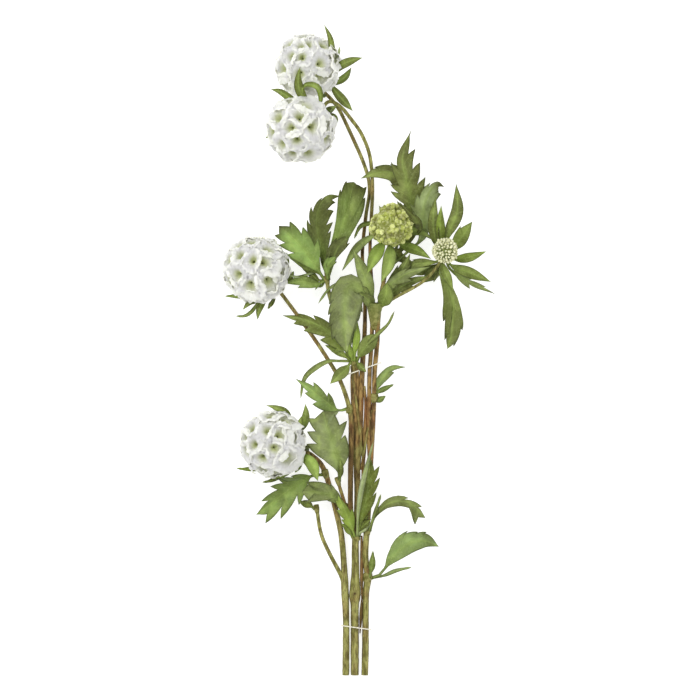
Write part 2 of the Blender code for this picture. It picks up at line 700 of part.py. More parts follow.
def white_head(key, head, group, work):
    """A ball of papery cups on a smaller core, resting on its lowest rims."""
    centre, axis = head_frame(head)
    radius = head["radius"] * MM
    draw = random.Random("head " + key)
    name = "head_" + key
    core = ball(name + "_core", centre, axis, radius * CORE_SHARE, work)
    rim_height = math.sqrt(radius ** 2 - CUP_RIM ** 2)
    cups = []
    for i, direction in enumerate(ball_directions(CUPS_ON_A_BALL, CUP_REACH, axis)):
        cups.append(cup("%s_cup_%d" % (name, i), centre, direction, (CUP_ROOT, ROOT_SHARE * radius),
                        (CUP_RIM, rim_height), THROAT_SHARE * radius, CUP_SIDES, draw, work,
                        lowest=0.0))
    made = fuse(name, core, cups, group, "MANIFOLD")
    made.data.materials.append(material("cup"))
    return made


def bract_line(centre, axis, radius, tip):
    """A route from the disc round the back of a head and out to the tip."""
    out = tip - centre
    polar_tip = out.angle(axis)
    around = flat_part(out, axis).normalized()
    rho_start = radius * CORE_SHARE + CLEARANCE + 0.5 * DISC_THICKNESS
    clear = min(out.length, radius + BRACT_LIFT)
    line = []
    count = 8
    for i in range(count + 1):
        t = i / count
        polar = FIRST_POLAR + (polar_tip - FIRST_POLAR) * t
        rho = rho_start + (clear - rho_start) * min(1.0, 4.0 * t)
        rho += (out.length - clear) * t ** 3
        point = centre + (axis * math.cos(polar) + around * math.sin(polar)) * rho
        point.z = max(point.z, BRACT_FLOOR)
        line.append(point)
    return line


def bract_ring(key, head, stems, group, work):
    """The disc under a white head, with a ring of narrow bracts."""
    centre, axis = head_frame(head)
    radius = head["radius"] * MM
    draw = random.Random("bracts " + key)
    name = "bracts_" + key
    middle = centre - axis * (radius * CORE_SHARE + CLEARANCE + 0.5 * DISC_THICKNESS)
    disc = cylinder(name + "_disc", middle, axis, DISC_RADIUS, DISC_THICKNESS, DISC_SIDES, work)
    tips = [(place(x, y, z), width) for x, y, z, width in head["tips"]]
    across, over = side_frame(axis)
    for i in range(RING_BRACTS):
        turn = 2.0 * math.pi * (i + 0.3 * draw.random()) / RING_BRACTS
        around = across * math.cos(turn) + over * math.sin(turn)
        spread = [around.angle(flat_part(tip - centre, axis)) for tip, _ in tips]
        if min(spread) < TIP_SPREAD:
            continue
        polar = draw.uniform(*RING_POLAR)
        reach = radius + draw.uniform(*RING_OVERHANG)
        if around.z < -0.4:
            polar, reach = FOLDED_UNDER_POLAR, radius - FOLDED_UNDER_DEPTH
        tip = centre + (axis * math.cos(polar) + around * math.sin(polar)) * reach
        tips.append((tip, RING_WIDTH))
    parts = []
    for i, (tip, width) in enumerate(tips):
        line = bract_line(centre, axis, radius, tip)
        parts.append(blade("%s_%d" % (name, i), line, width, work, peak=0.4, stalk=0.25, fold=-6.0,
                           level=(tip - centre).cross(axis).normalized(), plain_stations=2))
    made = fuse(name, disc, parts, group, "MANIFOLD")
    for stem_key in head["stems"]:
        made = cut(made, stems[stem_key]["clearance"], group)
    made.data.materials.append(material("bract"))
    return made


def green_head(group, work):
    """The half-open head: small flared florets on a core."""
    centre, axis = head_frame(GREEN_HEAD)
    radius = GREEN_HEAD["radius"] * MM
    draw = random.Random("green head")
    core = ball("head_green_core", centre, axis, radius * CORE_SHARE, work)
    florets = []
    for i, direction in enumerate(ball_directions(FLORETS_ON_A_BALL, FLORET_REACH, axis)):
        height = radius * draw.uniform(0.9, 1.0)
        florets.append(cup("floret_%d" % i, centre, direction, (FLORET_ROOT, ROOT_SHARE * radius),
                           (FLORET_RIM, height), height - FLORET_DEPTH, 5, draw, work))
    made = fuse("head_green", core, florets, group, "MANIFOLD")
    made.data.materials.append(material("floret"))
    return made


def green_bracts(clearance, group, work):
    """The disc under the green head, with its long leafy bracts."""
    centre, axis = head_frame(GREEN_HEAD)
    radius = GREEN_HEAD["radius"] * MM
    middle = centre - axis * (radius * CORE_SHARE + CLEARANCE + 0.5 * DISC_THICKNESS)
    disc = cylinder("bracts_green_disc", middle, axis, DISC_RADIUS, DISC_THICKNESS, DISC_SIDES, work)
    parts = []
    for i, leaf in enumerate(GREEN_BRACTS):
        points = [place(*point) for point in leaf["route"]]
        away = flat_part(points[0] - middle, axis).normalized()
        line = [middle + away * (0.6 * DISC_RADIUS), middle + away * (1.5 * DISC_RADIUS)]
        parts.append(blade("bracts_green_%d" % i, smooth(line + points, 5), leaf["width"], work))
    made = fuse("bracts_green", disc, parts, group, "MANIFOLD")
    made = cut(made, clearance, group)
    made.data.materials.append(material("bract"))
    return made


def bud(group, work):
    """The tight bud: blunt scales on a ball."""
    centre, axis = head_frame(BUD)
    radius = BUD["radius"] * MM
    draw = random.Random("bud")
    core = ball("bud_core", centre, axis, core_radius(BUD), work)
    knobs = []
    for i, direction in enumerate(ball_directions(KNOBS_ON_A_BALL, KNOB_REACH, axis)):
        knobs.append(cup("knob_%d" % i, centre, direction, (KNOB_ROOT, ROOT_SHARE * radius),
                         (KNOB_RIM, 0.9 * radius), radius, 4, draw, work))
    made = fuse("bud", core, knobs, group, "MANIFOLD")
    made.data.materials.append(material("bud"))
    return made


def stem(key, routes, group, work, cutters):
    """A branching stem, and the same stem grown by the clearance, which cuts its leaves."""
    out = {"routes": routes}
    forms = (("stem_" + key, 0.0, group), ("clearance_" + key, CLEARANCE, cutters))
    for name, grow, where in forms:
        tubes = [tube("%s_%d" % (name, i), lengthen(route, grow), grow, work)
                 for i, route in enumerate(routes)]
        made = fuse(name, tubes[0], tubes[1:], where)
        if where is cutters:
            made.hide_render = True
            made.display_type = "WIRE"
            out["clearance"] = made
        else:
            made.data.materials.append(material("stem"))
    return out


def flattened(value):
    """A sine or cosine pushed outwards, which squares a circle off."""
    return math.copysign(abs(value) ** (2.0 / 3.0), value)


def tie(name, spec, group):
    """A closed loop of thread round the stems, a little flattened."""
    middle = place(*spec["middle"])
    route = []
    for i in range(THREAD_STEPS):
        turn = 2.0 * math.pi * i / THREAD_STEPS
        across = flattened(math.cos(turn)) * spec["half_width"] * MM
        up = flattened(math.sin(turn)) * spec["half_height"] * MM
        spot = middle + Vector((across, across * spec["slant"], up))
        route.append(Vector((*spot, THREAD_RADIUS)))
    made = tube(name, route, 0.0, group, cyclic=True, resolution=0)
    made.data.materials.append(material("thread"))
    return made


def main():
    clear_scene()
    group = new_collection("scabiosa_bunch")
    work = new_collection("work")
    cutters = new_collection("cutters")
    left_head, middle_head = WHITE_HEADS["lower"], WHITE_HEADS["left"]
    stems = {
        "left": stem("left", [stem_route(STEM_LEFT, left_head), stem_route(BRANCH_THIN)],
                     group, work, cutters),
        "middle": stem("middle", [stem_route(STEM_MIDDLE), stem_route(BRANCH_HEAD_LEFT, middle_head),
                                  stem_route(BRANCH_HEAD_TOP, WHITE_HEADS["top"]),
                                  stem_route(BRANCH_LEAF_NODE)], group, work, cutters),
        "right": stem("right", [stem_route(STEM_RIGHT, GREEN_HEAD),
                                stem_route(BRANCH_HEAD_UPPER, WHITE_HEADS["upper"]),
                                stem_route(BRANCH_BUD, BUD, disc=False)], group, work, cutters),
    }
    for key, head in WHITE_HEADS.items():
        white_head(key, head, group, work)
        bract_ring(key, head, stems, group, work)
    green_head(group, work)
    green_bracts(stems["right"]["clearance"], group, work)
    bud(group, work)
    for name, spec in LEAVES.items():
        leaf_node(name, spec, stems, group, work)
    for name, spec in TIES.items():
        tie(name, spec, group)


main()
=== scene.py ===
import bisect
import math
import random
from types import SimpleNamespace

import bpy
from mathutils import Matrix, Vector, noise


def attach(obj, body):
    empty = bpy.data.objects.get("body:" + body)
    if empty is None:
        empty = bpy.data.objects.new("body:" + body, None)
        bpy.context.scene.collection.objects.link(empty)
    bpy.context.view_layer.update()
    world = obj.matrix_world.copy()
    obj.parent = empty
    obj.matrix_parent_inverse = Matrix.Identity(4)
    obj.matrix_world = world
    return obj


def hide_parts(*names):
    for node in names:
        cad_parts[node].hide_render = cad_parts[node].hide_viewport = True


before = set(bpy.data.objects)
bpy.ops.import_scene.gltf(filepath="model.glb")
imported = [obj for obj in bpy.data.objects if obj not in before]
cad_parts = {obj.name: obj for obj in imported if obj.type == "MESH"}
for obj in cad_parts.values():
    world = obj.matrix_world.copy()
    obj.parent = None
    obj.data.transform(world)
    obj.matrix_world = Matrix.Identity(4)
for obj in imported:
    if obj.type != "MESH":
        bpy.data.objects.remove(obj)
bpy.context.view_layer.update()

# Grid of the plan: x to the right, y towards the cut ends, heights in millimetres
MM = 0.001
GRID = 0.9 * MM
PLAN_MIDDLE = (359.3, 350.4)
GOLDEN_ANGLE = math.pi * (3.0 - math.sqrt(5.0))
UP = Vector((0.0, 0.0, 1.0))
TURN = 2.0 * math.pi

# White heads: centre on the grid, height, radius, axis and bract tips (x, y, height, width).
# A tip may have a route of its own, and loose bracts give their route, width, tone and greyness.
WHITE_HEADS = {
    "top": {
        "centre": (308.0, 66.0, 26.4), "radius": 28.0, "axis": (-0.35, 0.62, 0.7),
        "tips": [(324, 25, 36, 5.7), (363, 58, 30, 8.0), (352, 68, 17, 6.5), (353, 110, 17, 8.0)],
        "routes": {
            0: [(333, 62, 26), (332, 50, 35), (330, 38, 39), (324, 25, 36)],
            1: [(332, 74, 20), (341, 66, 30), (352, 61, 33), (363, 58, 30)],
            2: [(324, 86, 12), (335, 83, 18), (345, 77, 19), (351.6, 67, 17)],
            3: [(322, 80, 14), (330, 85, 22), (340, 97, 24), (352.8, 111, 17)],
        },
        "loose": [([(330, 68, 22), (338, 56, 29), (339.6, 46.5, 29)], 2.6, 0.4, 1.3)],
    },
    "upper": {
        "centre": (300.5, 130.5, 48.0), "radius": 29.6, "axis": (-0.5, -0.45, 0.74),
        "tips": [(300.4, 70, 70, 8.6), (270.8, 90, 44, 6.5), (265, 139, 30, 5.5), (336, 127, 38, 5.5)],
        "routes": {
            0: [(310, 108, 44), (301, 94, 62), (298.5, 82, 70), (300.4, 69, 70)],
            1: [(308, 108, 38), (293, 101, 48), (281, 93, 50), (270.8, 90, 44)],
            3: [(320, 118, 32), (329, 116, 38), (335, 119, 41), (336, 127.5, 38)],
        },
        "loose": [([(318, 112, 44), (321, 100, 60), (318, 89, 66), (308, 86, 67), (302.5, 90, 66),
                    (303, 96, 63)], 5.5, 0.3, 0.1),
                  ([(318, 115, 36), (327, 112, 42), (337, 106.5, 40)], 6.5, 0.45, 0.2)],
    },
    "left": {
        "centre": (257.0, 270.0, 27.2), "radius": 29.0, "axis": (-0.54, 0.48, 0.69),
        "tips": [(242, 310, 22, 6.0), (257.5, 320, 24, 6.0), (224, 296, 9, 6.0), (268, 309, 33, 5.0)],
        "routes": {
            0: [(268, 288, 12), (258, 299, 20), (250, 302, 24), (242.6, 310, 22)],
            1: [(270, 288, 12), (263, 302, 22), (259, 310, 26), (257.5, 320, 24)],
        },
        "loose": [([(268, 290, 9), (258, 303, 14), (251, 312, 16), (244, 316, 16), (235, 316, 12)],
                   3.6, 0.2, 0.5)],
    },
    "lower": {
        "centre": (273.0, 443.5, 27.2), "radius": 29.0, "axis": (-0.7, 0.1, 0.7),
        "tips": [(265.8, 405, 30, 6.5), (305, 403.5, 28, 7.5), (236, 468, 22, 5.5),
                 (262, 482, 30, 5.0)],
        "routes": {
            0: [(292, 432, 12), (287, 414, 26), (277, 408, 31), (265.8, 405, 30)],
            1: [(296, 438, 12), (304, 424, 24), (306, 413, 30), (305.3, 403.5, 28)],
        },
        "loose": [([(294, 440, 14), (299, 427, 28), (301.5, 416, 30)], 7.5, 0.0, 0.1),
                  ([(292, 452, 12), (290, 468, 22), (282, 475, 26), (273.4, 478.5, 24)], 6.0, 0.3, 0.1),
                  ([(296, 450, 14), (304, 457, 28), (312, 464, 32), (318, 481, 28)], 11.0, 0.85, 0.1)],
    },
}
GREEN_HEAD = {"centre": (391.5, 226.5, 39.0), "radius": 20.3, "axis": (0.08, 0.4, 0.91)}
BUD = {"centre": (445.0, 251.0, 42.0), "radius": 11.2, "axis": (0.05, 0.2, 0.98)}
CORE_SHARE = 0.74
CLEARANCE = 0.3 * MM
TURNED_SIDES = 24
DISC_RADIUS = 5.2 * MM
DISC_THICKNESS = 3.0 * MM
DISC_PROFILE = ((-0.5, 0.55), (-0.42, 0.8), (-0.15, 1.0), (0.2, 1.0), (0.5, 0.85))

# Bracts behind a white head: count, millimetres and degrees from the crown
RING_BRACTS = 7
RING_WIDTH = 6.0
RING_POLAR = (112.0, 124.0)
RING_OVERHANG = (3.0, 5.0)
TIP_SPREAD = 0.5
FOLDED_UNDER_POLAR = 156.0
FOLDED_UNDER_DEPTH = 4.5
FIRST_POLAR = 169.0
BRACT_LIFT = 2.2 * MM
BRACT_FLOOR = 1.2 * MM

# Rows of cups from the crown out: degrees from the axis, count, reach of a cup in millimetres
CUP_ROWS = ((6.0, 1, 9.0), (30.0, 5, 10.0), (58.0, 7, 11.6), (86.0, 8, 12.8), (111.0, 7, 12.4),
            (132.0, 6, 9.6))
CUP_SEGMENTS = 60
CUP_RINGS = 11
THROAT_SHARE = 0.12
PETAL_THICKNESS = 0.22 * MM
INNER_CORE = 0.7

# Green head and bud: counts over a whole ball, reach in degrees from the crown, sizes in millimetres
FLORET_CLUSTERS = 30
FLORET_REACH = 128.0
FLORET_CORE = 0.8
CLUSTER_SPREAD = (2.6, 3.4)
FLORET_SIZE = (1.9, 2.7)
BUD_SCALES = 170
BUD_REACH = 138.0
BUD_CORE = 0.84
SCALE_SIZE = (0.85, 1.35)

# Stems: grid x, grid y, height, radius, brownness
STEM_LEFT = [
    (345.7, 676, 3.1, 3.0, 0.0), (346, 648, 4.0, 3.0, 0.05), (346, 618, 5.4, 2.9, 0.1),
    (344.9, 590, 6.0, 3.5, 0.1), (344, 566, 6.0, 2.8, 0.15), (341.5, 537, 7.0, 2.7, 0.25),
    (337, 515, 8.0, 2.5, 0.35), (331, 492, 9.0, 2.4, 0.6), (324, 470, 9.5, 2.3, 0.8),
    (315, 458, 9.0, 2.1, 0.7),
]
BRANCH_THIN = [
    (344.5, 588, 6.0, 1.8, 0.1), (341, 576, 7.0, 1.9, 0.1), (330.6, 556, 8.5, 1.8, 0.2),
    (321, 534, 9.5, 1.7, 0.15), (316.3, 506, 9.0, 1.6, 0.1),
]
STEM_MIDDLE = [
    (354.8, 676, 3.5, 3.5, 0.1), (354.8, 648, 4.2, 3.6, 0.1), (354.8, 618, 5.6, 3.6, 0.15),
    (354.8, 604, 6.0, 3.8, 0.15), (354.8, 600, 6.2, 4.8, 0.3), (354.9, 593, 6.4, 5.1, 0.1),
    (355.2, 580, 6.9, 4.0, 0.1), (355.4, 565, 7.4, 3.4, 0.1), (355.5, 541, 8.5, 3.2, 0.2),
    (357.5, 500, 10.0, 3.0, 0.4), (356.5, 460, 11.5, 3.0, 0.5), (354.6, 410, 14.0, 3.1, 0.9),
    (353.8, 380, 15.0, 3.0, 0.9), (354, 361, 16.5, 2.7, 0.5), (346, 340, 18.5, 2.2, 0.3),
    (338, 318, 20.5, 2.0, 0.3), (329.5, 295, 22.5, 1.9, 0.2), (326, 272, 24.0, 1.7, 0.1),
]
BRANCH_HEAD_LEFT = [
    (355.0, 538, 9.0, 2.3, 0.5), (351.0, 518, 14.5, 2.3, 1.2), (350.5, 480, 17.5, 2.4, 1.5),
    (351, 440, 18.5, 2.4, 1.2), (350, 412, 18.5, 2.2, 0.4), (341, 382.6, 16.5, 1.9, 0.3),
    (327.4, 358.7, 14.5, 1.8, 0.35), (306, 327, 12.0, 1.7, 0.4),
]
BRANCH_LEAF_NODE = [
    (355.3, 545, 8.5, 1.7, 0.2), (350, 520, 9.5, 1.7, 0.9), (344.5, 503, 11.0, 1.6, 0.9),
    (337.5, 480, 13.0, 1.6, 0.3),
]
STEM_RIGHT = [
    (364.8, 676, 3.1, 3.0, 0.1), (365.4, 648, 4.0, 3.0, 0.15), (365.6, 618, 5.4, 2.9, 0.2),
    (366, 594, 6.2, 2.9, 0.25), (368, 576, 7.0, 3.3, 0.35), (365.5, 558, 8.0, 2.8, 0.15),
    (366.5, 534, 9.5, 2.8, 0.15), (369, 500, 11.5, 2.6, 0.3), (370.5, 460, 13.5, 2.7, 0.7),
    (372.5, 430, 15.0, 2.4, 0.9), (374, 400, 16.5, 2.1, 0.95), (374.6, 372, 18.0, 2.1, 0.9),
    (377, 345, 19.5, 2.1, 0.9), (378.5, 312, 21.5, 2.3, 0.4), (384, 280, 20.5, 1.9, 0.4),
    (388.5, 256, 18.5, 1.8, 0.2),
]
BRANCH_HEAD_TOP = [
    (357.5, 475, 11.5, 2.2, 0.3), (359.5, 440, 13.0, 2.6, 0.5), (360.8, 400, 14.0, 2.7, 1.0),
    (362.5, 365, 14.5, 2.4, 0.9), (364.5, 335, 15.5, 2.1, 1.2), (365, 305, 16.5, 1.8, 1.1),
    (363.5, 275, 16.0, 1.6, 1.1), (362.5, 250, 15.5, 1.6, 1.1), (366, 215, 14.5, 1.6, 0.55),
    (369.5, 190, 14.0, 1.6, 0.3), (365.5, 168, 13.5, 1.6, 0.25), (351, 134, 11.0, 1.6, 0.2),
    (337, 106, 7.5, 1.6, 0.2),
]
BRANCH_HEAD_UPPER = [
    (370, 462, 13.5, 2.0, 0.6), (368.8, 430, 15.5, 2.1, 0.8), (369.2, 400, 17.0, 2.0, 0.9),
    (369.6, 372, 18.5, 2.0, 0.7), (371.4, 345, 20.0, 1.9, 0.9), (372.5, 310, 21.5, 1.8, 1.1),
    (371.8, 284, 22.0, 1.6, 1.1), (370, 250, 20.5, 1.6, 1.0), (371.5, 215, 20.5, 1.6, 0.5),
    (372.5, 186, 20.5, 1.6, 0.25), (370, 157, 20.5, 1.6, 0.15), (362, 135, 21.5, 1.6, 0.1),
    (351, 119, 22.0, 1.6, 0.1), (339, 105.5, 22.0, 1.6, 0.1), (328, 102, 21.5, 1.6, 0.1),
]
BRANCH_BUD = [
    (377, 309, 21.5, 1.9, 0.1), (392.5, 299, 24.0, 1.5, 0.0), (421, 283, 26.0, 1.4, 0.0),
    (437, 267, 26.0, 1.4, 0.0),
]

# Fine strands that cross between the stems of the bundle
STRANDS = [
    [(357, 364, 15.5, 1.3, 0.9), (357.2, 385, 14.5, 1.9, 1.2), (356.6, 420, 13.5, 1.8, 0.9),
     (359, 455, 12.0, 1.0, 0.7)],
    [(364.5, 386, 14.5, 0.9, 0.5), (366, 410, 14.5, 1.7, 0.8), (364.6, 440, 13.0, 2.1, 0.9),
     (362.5, 478, 11.5, 1.1, 0.5)],
    [(351, 366, 17.5, 0.8, 0.6), (356, 400, 17.6, 1.2, 0.5), (361, 440, 15.0, 1.1, 0.4),
     (364, 470, 12.5, 0.8, 0.4)],
    [(372, 410, 17.5, 0.8, 0.4), (366, 440, 16.0, 1.2, 0.3), (361, 470, 13.5, 0.9, 0.4)],
    # The last two, dark brown, lie in the crevice between the middle and right stems and stand in for the
    # shade there
    [(361.6, 536, 8.0, 0.9, 1.1), (361.8, 560, 7.2, 1.6, 1.3), (361.6, 580, 7.0, 1.5, 1.3),
     (362, 600, 6.2, 0.7, 1.2)],
    [(361.8, 599, 6.6, 0.5, 1.5), (361.0, 615, 6.4, 1.5, 1.6), (360, 634, 5.0, 0.5, 1.6)],
]

# Bud scar on the swollen node of the middle stem, darkened round it, and painted shade in the hollow
# between two stems
BUD_SCAR = (354.8, 594.0, 11.3)
SCAR_AND_SHADE_SPOTS = [((354.8, 594.0, 11.0), 2.2), ((360.0, 622.0, 6.0), 3.0)]
STEM_STEPS = 10
STEM_SIDES = 20
STEM_STATION = 1.8 * MM
NECK = ((7.0 * MM, 1.7 * MM), (0.0, 1.8 * MM))

# A leaf where its row says nothing else: end of the bare stalk and widest place past it as shares,
# fold in degrees, tooth tips on the grid, reach of a notch and its way back from the tooth's tip as
# shares, how far the rows sweep forward, waviness, tone, greyness, where and how much the tip
# darkens, a direction that holds the root level, thickness in millimetres, cells from the midrib
# to an edge, and seed
LEAF_FORM = {
    "stalk": 0.12, "peak": 0.45, "fold": 14.0, "teeth": (), "notch": 0.6, "hook": 0.15, "sweep": 0.75,
    "wave": 1.0, "tone": 0.5, "grey": 0.0, "deep": (1.0, 0.0), "level": None, "thickness": 0.45,
    "columns": 6, "seed": 0.0,
}
BRACT_FORM = {"thickness": 0.4, "columns": 5}
STALK_HALF = 1.1 * MM
PLAIN_SAMPLES = 18
CURVE_STEPS = 8
LEAF_VALUES = ("across", "edge", "lobe", "along", "tone", "grey", "under", "side", "woody", "deep")

# Collar of the leaf bases, and the funnel that it opens into under the green head
SHEATH_PROFILE = ((-0.5, 0.05), (-0.42, 0.3), (-0.2, 0.65), (0.1, 0.85), (0.35, 0.75), (0.5, 0.5),
                  (0.5, 0.1))
COLLAR_LENGTH = 8.0 * MM
FUNNEL_RADIUS = 2.9 * MM
FUNNEL_FLARE = 3.9

# Colours in sRGB, 0 to 255: dark and light leaf, then dark and light grey leaf
LEAF_COLOURS = {
    "leaf_green": ((84, 90, 26), (154, 182, 72), (100, 106, 58), (158, 170, 114)),
    "leaf_olive": ((88, 88, 30), (154, 172, 94), (98, 100, 58), (162, 178, 126)),
    "leaf_light": ((88, 98, 32), (146, 180, 96), (100, 108, 62), (158, 178, 122)),
    "leaf_grey": ((86, 94, 36), (142, 162, 80), (114, 122, 74), (164, 176, 132)),
    "bract": ((84, 92, 26), (146, 176, 74), (114, 124, 72), (164, 178, 122)),
}

# Colours from the throat of a cup to its rim, and from the shade to the tip of a floret and a scale
CUP_COLOURS = ((0.0, (92, 104, 24)), (0.16, (140, 150, 72)), (0.28, (196, 202, 150)),
               (0.42, (236, 238, 216)), (0.6, (247, 247, 230)), (1.0, (250, 250, 236)))
FLORET_COLOURS = ((0.0, (92, 96, 28)), (0.3, (142, 150, 60)), (0.65, (190, 198, 106)),
                  (1.0, (220, 224, 158)))
BUD_COLOURS = ((0.0, (92, 104, 44)), (1.0, (228, 228, 186)))


def whorl(stem_key, slot, collar, blades, funnel=None):
    """Leaves of one node: collar as grid x, grid y, height and the stem's radius."""
    return {"stem": stem_key, "slot": slot, "collar": collar, "blades": blades, "funnel": funnel}


def blade(route, width, tone, grey=0.0, **traits):
    """A leaf: midrib route, width in millimetres, tone from dark to light, and teeth on the grid."""
    return {"route": route, "width": width, "tone": tone, "grey": grey, **traits}


